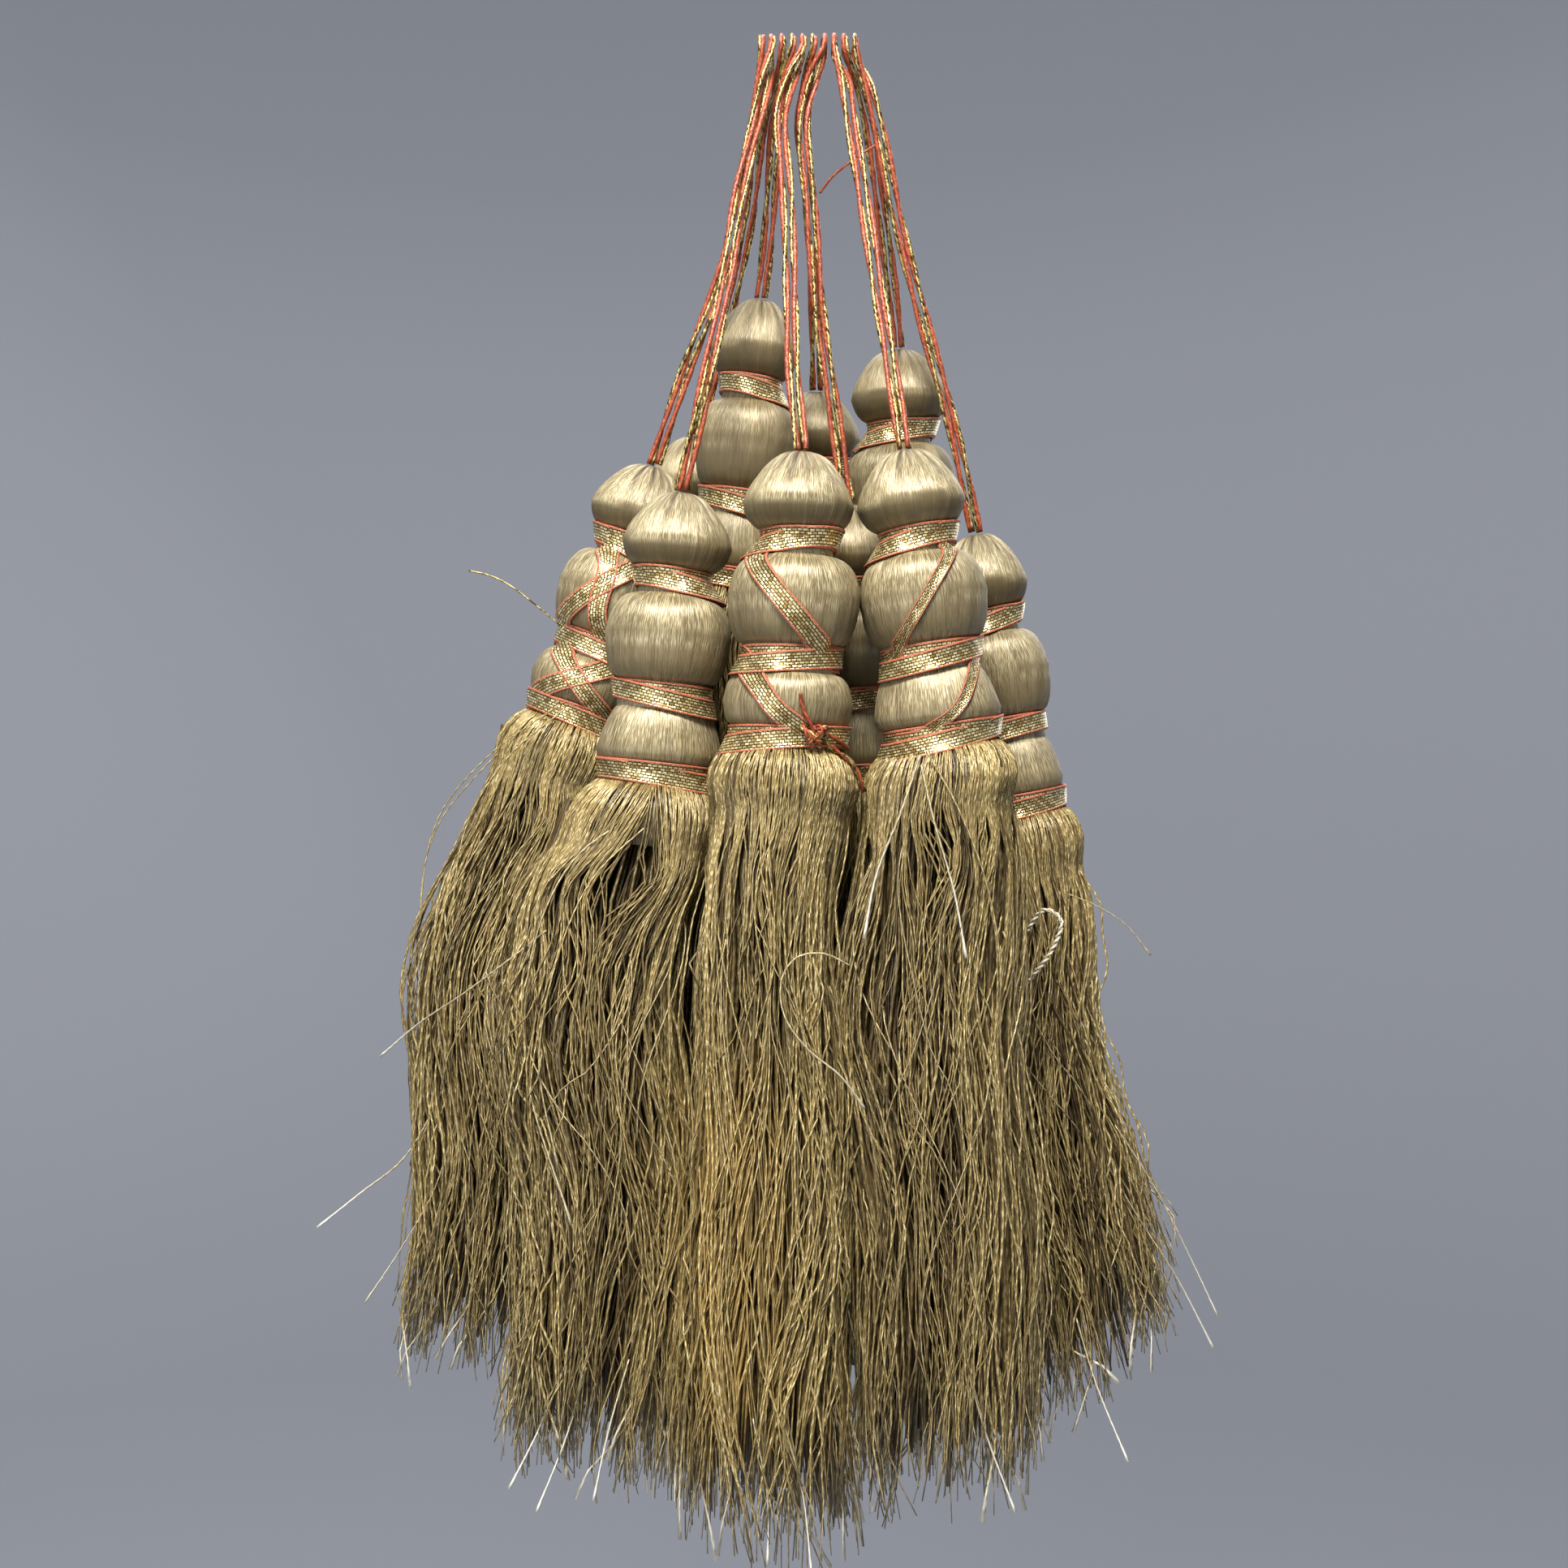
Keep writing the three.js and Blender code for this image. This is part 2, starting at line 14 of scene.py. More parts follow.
import bpy
import numpy as np
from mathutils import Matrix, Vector


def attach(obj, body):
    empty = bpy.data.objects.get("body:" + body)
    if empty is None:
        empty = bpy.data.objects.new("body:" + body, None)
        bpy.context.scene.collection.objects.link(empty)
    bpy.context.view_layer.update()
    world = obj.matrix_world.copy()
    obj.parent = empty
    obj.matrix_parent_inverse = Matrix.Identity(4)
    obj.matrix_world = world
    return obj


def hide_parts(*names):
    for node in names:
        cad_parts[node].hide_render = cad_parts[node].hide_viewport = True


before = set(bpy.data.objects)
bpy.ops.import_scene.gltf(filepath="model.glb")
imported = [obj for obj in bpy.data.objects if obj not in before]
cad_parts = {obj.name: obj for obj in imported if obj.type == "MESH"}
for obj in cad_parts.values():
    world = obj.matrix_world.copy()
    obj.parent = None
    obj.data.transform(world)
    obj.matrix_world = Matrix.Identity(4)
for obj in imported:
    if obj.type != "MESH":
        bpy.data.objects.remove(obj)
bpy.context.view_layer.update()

log = logging.getLogger("tassel_bunch")

MM = 0.001
TURN = 2 * math.pi
BODY = "root"


def add_object(name: str, data: bpy.types.ID) -> bpy.types.Object:
    """Makes an object of a mesh, a light or a camera and puts it in the scene."""
    thing = bpy.data.objects.new(name, data)
    bpy.context.scene.collection.objects.link(thing)
    return thing


def smooth_through(stops: Sequence[float], values: Any, at: Any) -> np.ndarray:
    """Reads a smooth curve that passes through every given value.

    Args:
        stops: Where each value lies, in rising order.
        values: A row of numbers for each stop.
        at: Where to read the curve, in an array of any shape.

    Returns:
        An array shaped like `at`, with a row of numbers in place of each entry.
    """
    stops = np.asarray(stops, float)
    values = np.asarray(values, float)
    at = np.clip(np.asarray(at, float), stops[0], stops[-1])
    slopes = np.gradient(values, stops, axis=0)
    place = np.clip(np.searchsorted(stops, at, side="right") - 1, 0, len(stops) - 2)
    width = (stops[place + 1] - stops[place])[..., None]
    s = (at - stops[place])[..., None] / width
    start = (2 * s**3 - 3 * s**2 + 1) * values[place]
    leaving = (s**3 - 2 * s**2 + s) * width * slopes[place]
    end = (3 * s**2 - 2 * s**3) * values[place + 1]
    arriving = (s**3 - s**2) * width * slopes[place + 1]
    return start + leaving + end + arriving


def smooth_path(points: Any, count: int) -> np.ndarray:
    """Draws a smooth path through points in space.

    Args:
        points: The points, a row of three for each.
        count: How many points the result has.

    Returns:
        Points along the path, about evenly spaced.
    """
    points = np.asarray(points, float)
    steps = np.sqrt(np.linalg.norm(np.diff(points, axis=0), axis=1))
    stops = np.concatenate([[0.0], np.cumsum(steps)])
    fine = smooth_through(stops, points, np.linspace(0, stops[-1], 12 * count))
    walked = lengths_along(fine)
    even = np.linspace(0, walked[-1], count)
    return np.stack([np.interp(even, walked, fine[:, k]) for k in range(3)], axis=-1)


def lengths_along(points: np.ndarray) -> np.ndarray:
    """How far along a path each of its points lies, with the path on the last axis but one."""
    steps = np.linalg.norm(np.diff(points, axis=-2), axis=-1)
    return np.concatenate([np.zeros_like(steps[..., :1]), np.cumsum(steps, axis=-1)], axis=-1)


def ease(low: float, high: float, value: Any) -> np.ndarray:
    """Rises smoothly from 0 at `low` to 1 at `high`."""
    share = np.clip((np.asarray(value, float) - low) / (high - low), 0, 1)
    return share * share * (3 - 2 * share)


def unit(vectors: np.ndarray) -> np.ndarray:
    """The same directions with a length of 1."""
    return vectors / np.maximum(np.linalg.norm(vectors, axis=-1, keepdims=True), 1e-9)


@dataclass
class Draft:
    """Rings of points that are gathered piece by piece and then become one mesh."""

    points: list[np.ndarray] = field(default_factory=list)
    corners: list[np.ndarray] = field(default_factory=list)
    sizes: list[np.ndarray] = field(default_factory=list)
    places: list[np.ndarray] = field(default_factory=list)
    materials: list[np.ndarray] = field(default_factory=list)
    traits: dict[str, list[np.ndarray]] = field(default_factory=dict)
    count: int = 0

    def add_rings(
        self,
        rings: np.ndarray,
        around: np.ndarray,
        along: np.ndarray,
        traits: dict[str, np.ndarray] | None = None,
        material: int = 0,
    ) -> None:
        """Adds tubes, each through its own row of rings, with both ends closed.

        Args:
            rings: Points by tube, ring, corner and axis, in millimetres.
            around: Where each corner lies round its ring, with one entry more to close it.
            along: Where each ring lies along its tube, by tube and ring.
            traits: Named numbers that the finish reads, each by tube and ring or by tube, ring and corner.
            material: Which of the piece's finishes the tubes take.
        """
        tubes, rows, sides, _ = rings.shape
        grid = np.arange(tubes * rows * sides).reshape(tubes, rows, sides) + self.count
        following = np.roll(grid, -1, axis=2)
        quads = np.stack([grid[:, :-1], following[:, :-1], following[:, 1:], grid[:, 1:]], axis=-1)
        across = np.broadcast_to(around[:-1], (tubes, rows, sides))
        beyond = np.broadcast_to(around[1:], (tubes, rows, sides))
        down = np.broadcast_to(along[:, :, None], (tubes, rows, sides))
        near = np.stack([across, down], axis=-1)
        far = np.stack([beyond, down], axis=-1)
        quad_places = np.stack([near[:, :-1], far[:, :-1], far[:, 1:], near[:, 1:]], axis=-2)
        self._add_faces(quads.reshape(-1, 4), quad_places.reshape(-1, 4, 2), material)
        self._add_faces(grid[:, 0, ::-1], near[:, 0, ::-1], material)
        self._add_faces(grid[:, -1], near[:, -1], material)
        self.points.append(rings.reshape(-1, 3))
        for name, values in (traits or {}).items():
            full = values if values.ndim == 3 else values[:, :, None]
            self.traits.setdefault(name, []).append(np.broadcast_to(full, grid.shape).reshape(-1))
        self.count += grid.size

    def _add_faces(self, corners: np.ndarray, places: np.ndarray, material: int) -> None:
        """Adds faces that all have the same number of corners."""
        self.corners.append(corners.reshape(-1))
        self.sizes.append(np.full(len(corners), corners.shape[1]))
        self.places.append(places.reshape(-1, 2))
        self.materials.append(np.full(len(corners), material))

    def piece(self, name: str, finishes: Sequence[bpy.types.Material], slot: str) -> bpy.types.Object:
        """Makes the mesh object, gives it its finishes and fixes it to the bunch.

        Args:
            name: What the object is called.
            finishes: Its materials, in the order that the tubes name them.
            slot: The material slot of the record that it belongs to. It is not used.

        Returns:
            The new object.
        """
        mesh = bpy.data.meshes.new(name)
        points = np.concatenate(self.points) * MM
        corners = np.concatenate(self.corners)
        sizes = np.concatenate(self.sizes)
        mesh.vertices.add(len(points))
        mesh.vertices.foreach_set("co", points.reshape(-1))
        mesh.loops.add(len(corners))
        mesh.loops.foreach_set("vertex_index", corners.astype(np.int32))
        mesh.polygons.add(len(sizes))
        starts = np.concatenate([[0], np.cumsum(sizes)[:-1]])
        mesh.polygons.foreach_set("loop_start", starts.astype(np.int32))
        mesh.polygons.foreach_set("material_index", np.concatenate(self.materials).astype(np.int32))
        mesh.update(calc_edges=True)
        places = mesh.uv_layers.new(name="thread")
        places.data.foreach_set("uv", np.concatenate(self.places).reshape(-1))
        for trait, values in self.traits.items():
            layer = mesh.attributes.new(trait, "FLOAT", "POINT")
            layer.data.foreach_set("value", np.concatenate(values).astype(np.float32))
        for finish in finishes:
            mesh.materials.append(finish)
        mesh.shade_smooth()
        piece = add_object(name, mesh)
        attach(piece, BODY)
        return piece


def tube_rings(paths: np.ndarray, radii: np.ndarray, sides: int, facing: np.ndarray) -> np.ndarray:
    """Rings of a round tube along each path.

    Args:
        paths: Points by tube, step and axis.
        radii: The radius by tube and step.
        sides: How many corners each ring has.
        facing: A direction, for each point, that the first corner is turned to.

    Returns:
        Points by tube, ring, corner and axis.
    """
    ahead = unit(np.gradient(paths, axis=1))
    facing = np.broadcast_to(facing, paths.shape)
    out = unit(facing - (facing * ahead).sum(-1, keepdims=True) * ahead)
    beside = np.cross(ahead, out)
    angles = np.arange(sides) * TURN / sides
    spokes = (
        out[:, :, None] * np.cos(angles)[None, None, :, None]
        + beside[:, :, None] * np.sin(angles)[None, None, :, None]
    )
    return paths[:, :, None] + radii[:, :, None, None] * spokes


def srgb(red: int, green: int, blue: int) -> tuple[float, float, float, float]:
    """A colour picked on a screen, from 0 to 255, as the light that a shader works with."""

    def light(value: int) -> float:
        """One channel of it."""
        part = value / 255
        return part / 12.92 if part <= 0.04045 else ((part + 0.055) / 1.055) ** 2.4

    return (light(red), light(green), light(blue), 1.0)


Value = Union["Wire", float]


@dataclass(frozen=True)
class Wire:
    """One output of a node, which can be used in sums with numbers and with other outputs."""

    shader: "Shader"
    socket: bpy.types.NodeSocket

    def __add__(self, other: Value) -> "Wire":
        """This plus another value."""
        return self.shader.maths("ADD", self, other)

    __radd__ = __add__

    def __mul__(self, other: Value) -> "Wire":
        """This times another value."""
        return self.shader.maths("MULTIPLY", self, other)

    __rmul__ = __mul__

    def __sub__(self, other: Value) -> "Wire":
        """This less another value."""
        return self.shader.maths("SUBTRACT", self, other)

    def __rsub__(self, other: Value) -> "Wire":
        """Another value less this."""
        return self.shader.maths("SUBTRACT", other, self)

    def __abs__(self) -> "Wire":
        """The size of this without its sign."""
        return self.shader.maths("ABSOLUTE", self)

    def sibling(self, output: str | int) -> "Wire":
        """Another output of the same node."""
        return Wire(self.shader, self.socket.node.outputs[output])


class Shader:
    """The nodes of one material."""

    def __init__(self, name: str) -> None:
        """Starts an empty material.

        Args:
            name: What the material is called.
        """
        self.material = bpy.data.materials.new(name)
        self.material.use_nodes = True
        self.tree = self.material.node_tree
        self.tree.nodes.clear()

    def node(
        self,
        kind: str,
        settings: dict[str, Any] | None = None,
        sockets: dict[str | int, Any] | None = None,
        output: str | int = 0,
    ) -> Wire:
        """Adds a node.

        Args:
            kind: Blender's name for the type of node.
            settings: Its own settings, which are made first.
            sockets: What each of its inputs is set or joined to.
            output: The output that is wanted.

        Returns:
            That output.
        """
        node = self.tree.nodes.new(kind)
        for name, value in (settings or {}).items():
            setattr(node, name, value)
        for name, value in (sockets or {}).items():
            if isinstance(value, Wire):
                self.tree.links.new(value.socket, node.inputs[name])
            else:
                node.inputs[name].default_value = value
        return Wire(self, node.outputs[output])

    def maths(self, operation: str, *values: Value) -> Wire:
        """Works out one step of arithmetic on numbers."""
        return self.node("ShaderNodeMath", {"operation": operation}, dict(enumerate(values)))

    def between(self, value: Value, low: float, high: float) -> Wire:
        """Rises evenly from 0 where the value is `low` to 1 where it is `high`."""
        return self.node("ShaderNodeMapRange", {"clamp": True}, {0: value, 1: low, 2: high})

    def mix(self, share: Value, first: Any, second: Any) -> Wire:
        """Mixes two colours.

        Args:
            share: How much of the second there is, from 0 to 1.
            first: A colour or an output.
            second: A colour or an output.

        Returns:
            The mixed colour.
        """
        settings = {"data_type": "RGBA", "clamp_factor": True}
        return self.node("ShaderNodeMix", settings, {0: share, 6: first, 7: second}, 2)

    def trait(self, name: str) -> Wire:
        """A number that the mesh carries at each of its points."""
        return self.node("ShaderNodeAttribute", {"attribute_name": name}, output="Fac")

    def thread_place(self) -> tuple[Wire, Wire]:
        """Where a point lies round or across its thread or ribbon, and how far along it, in millimetres."""
        place = self.node("ShaderNodeUVMap", {"uv_map": "thread"})
        both = self.node("ShaderNodeSeparateXYZ", sockets={0: place})
        return both, both.sibling(1)

    def noise(self, x: Value, y: Value, z: Value = 0.0, detail: float = 1.0) -> Wire:
        """Soft random patches about one unit across.

        Args:
            x: The first coordinate.
            y: The second coordinate.
            z: The third coordinate.
            detail: How much finer detail there is.

        Returns:
            A number mostly from 0.3 to 0.7.
        """
        place = self.node("ShaderNodeCombineXYZ", sockets={0: x, 1: y, 2: z})
        sockets = {"Vector": place, "Scale": 1.0, "Detail": detail, "Roughness": 0.6}
        return self.node("ShaderNodeTexNoise", sockets=sockets)

    def bump(self, height: Value, distance: float, strength: float = 1.0) -> Wire:
        """A normal for relief that the mesh doesn't have.

        Args:
            height: The relief, from 0 to 1.
            distance: How deep it is, in millimetres.
            strength: How much of it shows.

        Returns:
            The normal.
        """
        sockets = {"Height": height, "Distance": distance * MM, "Strength": strength}
        return self.node("ShaderNodeBump", sockets=sockets, output="Normal")

    def finish(self, sockets: dict[str, Any]) -> bpy.types.Material:
        """Ends the material in one surface, whose inputs are set or joined to what is given."""
        surface = self.node("ShaderNodeBsdfPrincipled", sockets=sockets)
        output = self.tree.nodes.new("ShaderNodeOutputMaterial")
        self.tree.links.new(surface.socket, output.inputs["Surface"])
        return self.material


@dataclass(frozen=True)
class HeadSilk:
    """Silky threads laid side by side down a head, seen as fine streaks with painted glints of highlight,
    painted shade on the lower half of each bulb and painted shade in the creases.
    """

    # The colour of the painted shade in the creases.
    painted_crease_shade: tuple = srgb(56, 45, 25)
    shade: tuple = srgb(100, 86, 56)
    plain: tuple = srgb(134, 118, 80)
    # The colour of the painted highlights.
    painted_highlight: tuple = srgb(214, 202, 164)
    # The colour of the painted shade on the lower half of each bulb.
    shaded_band: tuple = srgb(88, 75, 46)

    def make(self) -> bpy.types.Material:
        """Builds the material."""
        shader = Shader("head_silk")
        around, along = shader.thread_place()
        streak = shader.noise(around * 5.0, along * 0.10, 0.0, 2.0)
        broad = shader.noise(around * 0.4, along * 0.05, 4.0, 1.0)
        glint = shader.noise(around * 4.6, along * 0.42, 9.0, 1.0)
        # Painted shade: darker threads on the lower half of each bulb, with ragged edges, and no glints
        # there.
        ragged = shader.trait("shaded_band") + (glint - 0.5) * 0.9
        dull = shader.between(ragged, 0.1, 0.75)
        tone = streak * 0.75 + broad * 0.3
        colour = shader.mix(shader.between(tone, 0.40, 0.64), self.shade, self.plain)
        # Painted highlight: bright glints where the streak and glint noise peak, fading where the painted
        # shade lies.
        painted_glint = shader.between(tone * 0.4 + glint * 0.7, 0.53, 0.70)
        colour = shader.mix(painted_glint * 0.75 * (1 - dull * 0.8), colour, self.painted_highlight)
        colour = shader.mix(dull * 0.75, colour, self.shaded_band)
        # Painted shade in the fold valleys and at the very top, where the cord goes in.
        colour = shader.mix(shader.trait("painted_crease_shade"), colour, self.painted_crease_shade)
        relief = streak * 0.8 + glint * 0.35
        return shader.finish(
            {
                "Base Color": colour,
                "Metallic": 0.25,
                "Roughness": 0.34 + streak * 0.15 + dull * 0.12,
                "Anisotropic": 0.75,
                "Specular IOR Level": 0.7,
                "Normal": shader.bump(relief, 0.2, 0.8),
            }
        )


@dataclass(frozen=True)
class SkirtSilk:
    """The same threads hanging free, each with its own tone and a pale cut tip, with painted shade on the
    lower layers and the heart and painted highlights along the twist.
    """

    # The darkest tone, which also serves as painted shade on the lower layers and the heart.
    deep: tuple = srgb(56, 41, 19)
    plain: tuple = srgb(142, 121, 72)
    # The colour of the painted highlights along the twist.
    painted_highlight: tuple = srgb(234, 216, 160)
    warm: tuple = srgb(182, 148, 78)
    tip: tuple = srgb(238, 232, 214)

    def make(self) -> bpy.types.Material:
        """Builds the material."""
        shader = Shader("skirt_silk")
        around, along = shader.thread_place()
        shade = shader.trait("shade")
        patch = shader.noise(along * 0.11, shade * 40.0, 0.0, 1.0)
        twist = shader.noise(around * 1.2 + along * 0.9, along * 0.5, shade * 17.0, 1.0)
        spiral = shader.maths("SINE", along * 2.3 - around * 2.094 + shade * 40.0)
        # Each thread's tone, which carries painted shade on the lower layers and the heart.
        tone = shade * 0.75 + patch * 0.4 - 0.1
        colour = shader.mix(shader.between(tone, 0.05, 0.5), self.deep, self.plain)
        colour = shader.mix(shader.trait("warm") * 0.6, colour, self.warm)
        # Painted highlight: bright flecks along each thread's twist, where its tone is not too dark.
        fleck = shader.between(twist + spiral * 0.12, 0.5, 0.68) * shader.between(tone, 0.1, 0.7)
        colour = shader.mix(fleck * 0.8, colour, self.painted_highlight)
        colour = shader.mix(shader.trait("pale"), colour, self.tip)
        return shader.finish(
            {
                "Base Color": colour,
                "Metallic": 0.2,
                "Roughness": 0.3 + patch * 0.2,
                "Specular IOR Level": 0.6,
                "Normal": shader.bump(twist + spiral * 0.3, 0.14, 0.7),
            }
        )


@dataclass(frozen=True)
class WovenRibbon:
    """A narrow band of metallic weave between two orange edges."""

    width: float
    edge: float
    gap: tuple = srgb(60, 44, 22)
    dull: tuple = srgb(156, 126, 68)
    gold: tuple = srgb(255, 240, 184)
    orange: tuple = srgb(190, 108, 78)
    orange_deep: tuple = srgb(138, 74, 50)

    def make(self) -> bpy.types.Material:
        """Builds the material."""
        shader = Shader("woven_ribbon")
        across, along = shader.thread_place()
        place = shader.node("ShaderNodeCombineXYZ", sockets={0: along, 1: across, 2: 0.0})
        weave = {
            "Vector": place,
            "Color1": (0.0, 0.0, 0.0, 1.0),
            "Color2": (1.0, 1.0, 1.0, 1.0),
            "Mortar": (0.0, 0.0, 0.0, 1.0),
            "Scale": 1.0,
            "Mortar Size": 0.12,
            "Mortar Smooth": 0.4,
            "Brick Width": 1.1,
            "Row Height": 0.62,
        }
        cell = shader.node("ShaderNodeTexBrick", sockets=weave)
        gap = cell.sibling("Fac")
        glitter = shader.noise(across * 1.9, along * 1.3, 3.0, 2.0)
        tone = shader.between(cell * 0.85 + glitter * 0.6, 0.3, 1.0)
        middle = shader.mix(tone, self.dull, self.gold)
        middle = shader.mix(gap * 0.8, middle, self.gap)
        inner = self.width / 2 - self.edge
        edge = shader.between(abs(across - self.width / 2), inner - 0.08, inner)
        ply = shader.noise(across * 3.0, along * 2.6, 6.0, 1.0)
        orange = shader.mix(shader.between(ply, 0.35, 0.6), self.orange_deep, self.orange)
        relief = (1 - gap) * (0.3 + glitter * 0.7) * (1 - edge) + edge * (0.5 + ply * 0.6)
        return shader.finish(
            {
                "Base Color": shader.mix(edge, middle, orange),
                "Metallic": (1 - edge) * 0.7,
                "Roughness": 0.26 + edge * 0.34,
                "Specular IOR Level": 0.5,
                "Normal": shader.bump(relief, 0.3, 1.0),
            }
        )


@dataclass(frozen=True)
class CordPly:
    """One ply of a hanging cord: metallic gold, or orange yarn."""

    name: str
    metallic: float
    dark: tuple
    light: tuple

    def make(self) -> bpy.types.Material:
        """Builds the material."""
        shader = Shader(self.name)
        around, along = shader.thread_place()
        fleck = shader.noise(around * 1.1, along * 0.9, 1.0, 2.0)
        strand = shader.noise(around * 1.6 + along * 1.1, along * 0.3, 5.0, 1.0)
        tone = shader.between(fleck * 0.6 + strand * 0.5, 0.46, 0.72)
        return shader.finish(
            {
                "Base Color": shader.mix(tone, self.dark, self.light),
                "Metallic": self.metallic,
                "Roughness": 0.32 + 0.2 * tone,
                "Specular IOR Level": 0.5,
                "Normal": shader.bump(tone, 0.12, 0.9),
            }
        )


@dataclass(frozen=True)
class StudioPaint:
    """The matt pale paint of the studio floor and wall."""

    colour: tuple = srgb(158, 161, 169)

    def make(self) -> bpy.types.Material:
        """Builds the material."""
        shader = Shader("studio_paint")
        grain = shader.node("ShaderNodeTexNoise", sockets={"Scale": 6.0, "Detail": 2.0})
        sockets = {"Base Color": self.colour, "Roughness": 0.85 + grain * 0.1, "Specular IOR Level": 0.2}
        return shader.finish(sockets)


@dataclass(frozen=True)
class Bulb:
    """One swelling of a head of girth 1 and length 1, by depth below the cord.

    A fullness of 2 is round, and one nearer 1 is a straight slope.
    """

    start: float
    widest: float
    end: float
    radius: float
    upper: float
    lower: float


class Third(Enum):
    """The form of a head's lowest bulb."""

    BALL = Bulb(47.6, 54, 59, 14, 2, 2.2)
    DRUM = Bulb(47.6, 57, 59.4, 13.6, 1.35, 2.4)


TOP_RADIUS = 2.3
DOME = Bulb(0, 11.5, 17, 11.8, 1.5, 1.8)
BALL = Bulb(22.4, 31.5, 41.6, 14, 2.1, 2.1)
NECK_RADII = (7.6, 10.2, 12.1)
SHOULDER = {"start": 64.6, "widest": 72.0, "end": 77.0, "radius": 15.6, "foot": 14.4}
SHOULDER_FULLNESS = 1.8
NEAR_COLUMNS = 156
FAR_COLUMNS = 96


@dataclass(frozen=True)
class Tassel:
    """Where one tassel hangs and how it was made.

    Attributes:
        name: The ending of the names of its pieces.
        top: The top of its head.
        right: How far its foot swings to the right, in degrees.
        back: How far its foot swings to the back, in degrees.
        girth: Its thickness beside the plain one.
        length: The length of its head beside the plain one.
        third: The form of its lowest bulb.
        near: Whether it hangs in the front rows, with more threads in its skirt.
    """

    name: str
    top: tuple[float, float, float]
    right: float
    back: float
    girth: float
    length: float
    third: Third
    near: bool

    @property
    def order(self) -> int:
        """Its number in the bunch."""
        return int(self.name[1:])


TASSELS = (
    Tassel("t1", (-28.4, -19, -105.7), -5, 0, 1, 1.01, Third.DRUM, True),
    Tassel("t2", (-1.8, -31, -98.8), -3.2, 0, 1, 1, Third.BALL, True),
    Tassel("t3", (20.6, -27, -97.7), 7, 0, 0.99, 1.01, Third.DRUM, True),
    Tassel("t4", (39.6, 6, -111.6), 8.6, 1, 0.86, 1.03, Third.DRUM, True),
    Tassel("t5", (-36.2, 3.5, -96.1), -17, 2, 0.95, 0.98, Third.BALL, True),
    Tassel("t6", (-11.3, 12, -55), -6, 2, 0.86, 1.08, Third.DRUM, False),
    Tassel("t7", (22.2, 21, -64.6), 1, 4, 0.98, 1.02, Third.BALL, False),
    Tassel("t8", (2.6, 41, -70.7), -1, 5, 0.94, 1, Third.BALL, False),
    Tassel("t9", (9.1, -4, -106.1), 1, 2, 0.9, 1, Third.DRUM, False),
    Tassel("t10", (-27.6, 38, -82.5), -3, 4, 0.94, 1, Third.BALL, False),
)
MIDDLE_TASSEL = TASSELS[1]
RIGHT_TASSEL = TASSELS[3]


class HeadShape:
    """The turned form of one head, and its place in the bunch."""

    def __init__(self, tassel: Tassel) -> None:
        """Scales the plain head to one tassel.

        Args:
            tassel: The tassel.
        """
        girth, length = tassel.girth, tassel.length
        self.bulbs = [
            Bulb(b.start * length, b.widest * length, b.end * length, b.radius * girth, b.upper, b.lower)
            for b in (DOME, BALL, tassel.third.value)
        ]
        self.start, self.widest, self.end = (SHOULDER[k] * length for k in ("start", "widest", "end"))
        self.shoulder, self.foot = (SHOULDER[k] * girth for k in ("radius", "foot"))
        neck_ends = [self.bulbs[1].start, self.bulbs[2].start, self.start]
        self.neck_radii = [radius * girth for radius in NECK_RADII]
        self.necks = [(bulb.end, end) for bulb, end in zip(self.bulbs, neck_ends)]
        back, right = math.radians(tassel.back), math.radians(-tassel.right)
        cos, sin = math.cos(back), math.sin(back)
        to_back = np.array([[1, 0, 0], [0, cos, -sin], [0, sin, cos]])
        cos, sin = math.cos(right), math.sin(right)
        to_right = np.array([[cos, 0, sin], [0, 1, 0], [-sin, 0, cos]])
        self.lean = to_back @ to_right
        self.top = np.array(tassel.top, float)

    def radius(self, depth: Any) -> np.ndarray:
        """The head's radius at each depth below the cord."""
        depth = np.asarray(depth, float)
        result = np.full(depth.shape, TOP_RADIUS)
        for index, bulb in enumerate(self.bulbs):
            above = self.neck_radii[index - 1] if index else TOP_RADIUS
            upper = depth < bulb.widest
            edge = np.where(upper, above, self.neck_radii[index])
            fullness = np.where(upper, bulb.upper, bulb.lower)
            reach = np.where(upper, bulb.widest - bulb.start, bulb.end - bulb.widest)
            share = np.clip(np.abs(depth - bulb.widest) / reach, 0, 1)
            swell = edge + (bulb.radius - edge) * (1 - share**fullness) ** (1 / fullness)
            result = np.where(depth >= bulb.start, swell, result)
            result = np.where(depth > bulb.end, self.neck_radii[index], result)
        neck = self.neck_radii[2]
        share = np.clip((self.widest - depth) / (self.widest - self.start), 0, 1)
        swell = neck + (self.shoulder - neck) * (1 - share**SHOULDER_FULLNESS) ** (1 / SHOULDER_FULLNESS)
        result = np.where(depth > self.start, swell, result)
        drawn_in = self.shoulder + (self.foot - self.shoulder) * ease(self.widest, self.end, depth)
        return np.where(depth > self.widest, drawn_in, result)

    def set_in_bunch(self, local: np.ndarray) -> np.ndarray:
        """Moves points of the head's own upright frame to where the head hangs."""
        return local @ self.lean.T + self.top

    def point(self, turn: Any, depth: Any, radius: Any) -> np.ndarray:
        """Points at an angle, a depth and a radius from the head's axis."""
        turn, depth, radius = np.broadcast_arrays(turn, depth, radius)
        local = np.stack([radius * np.sin(turn), -radius * np.cos(turn), -depth], axis=-1)
        return self.set_in_bunch(local)


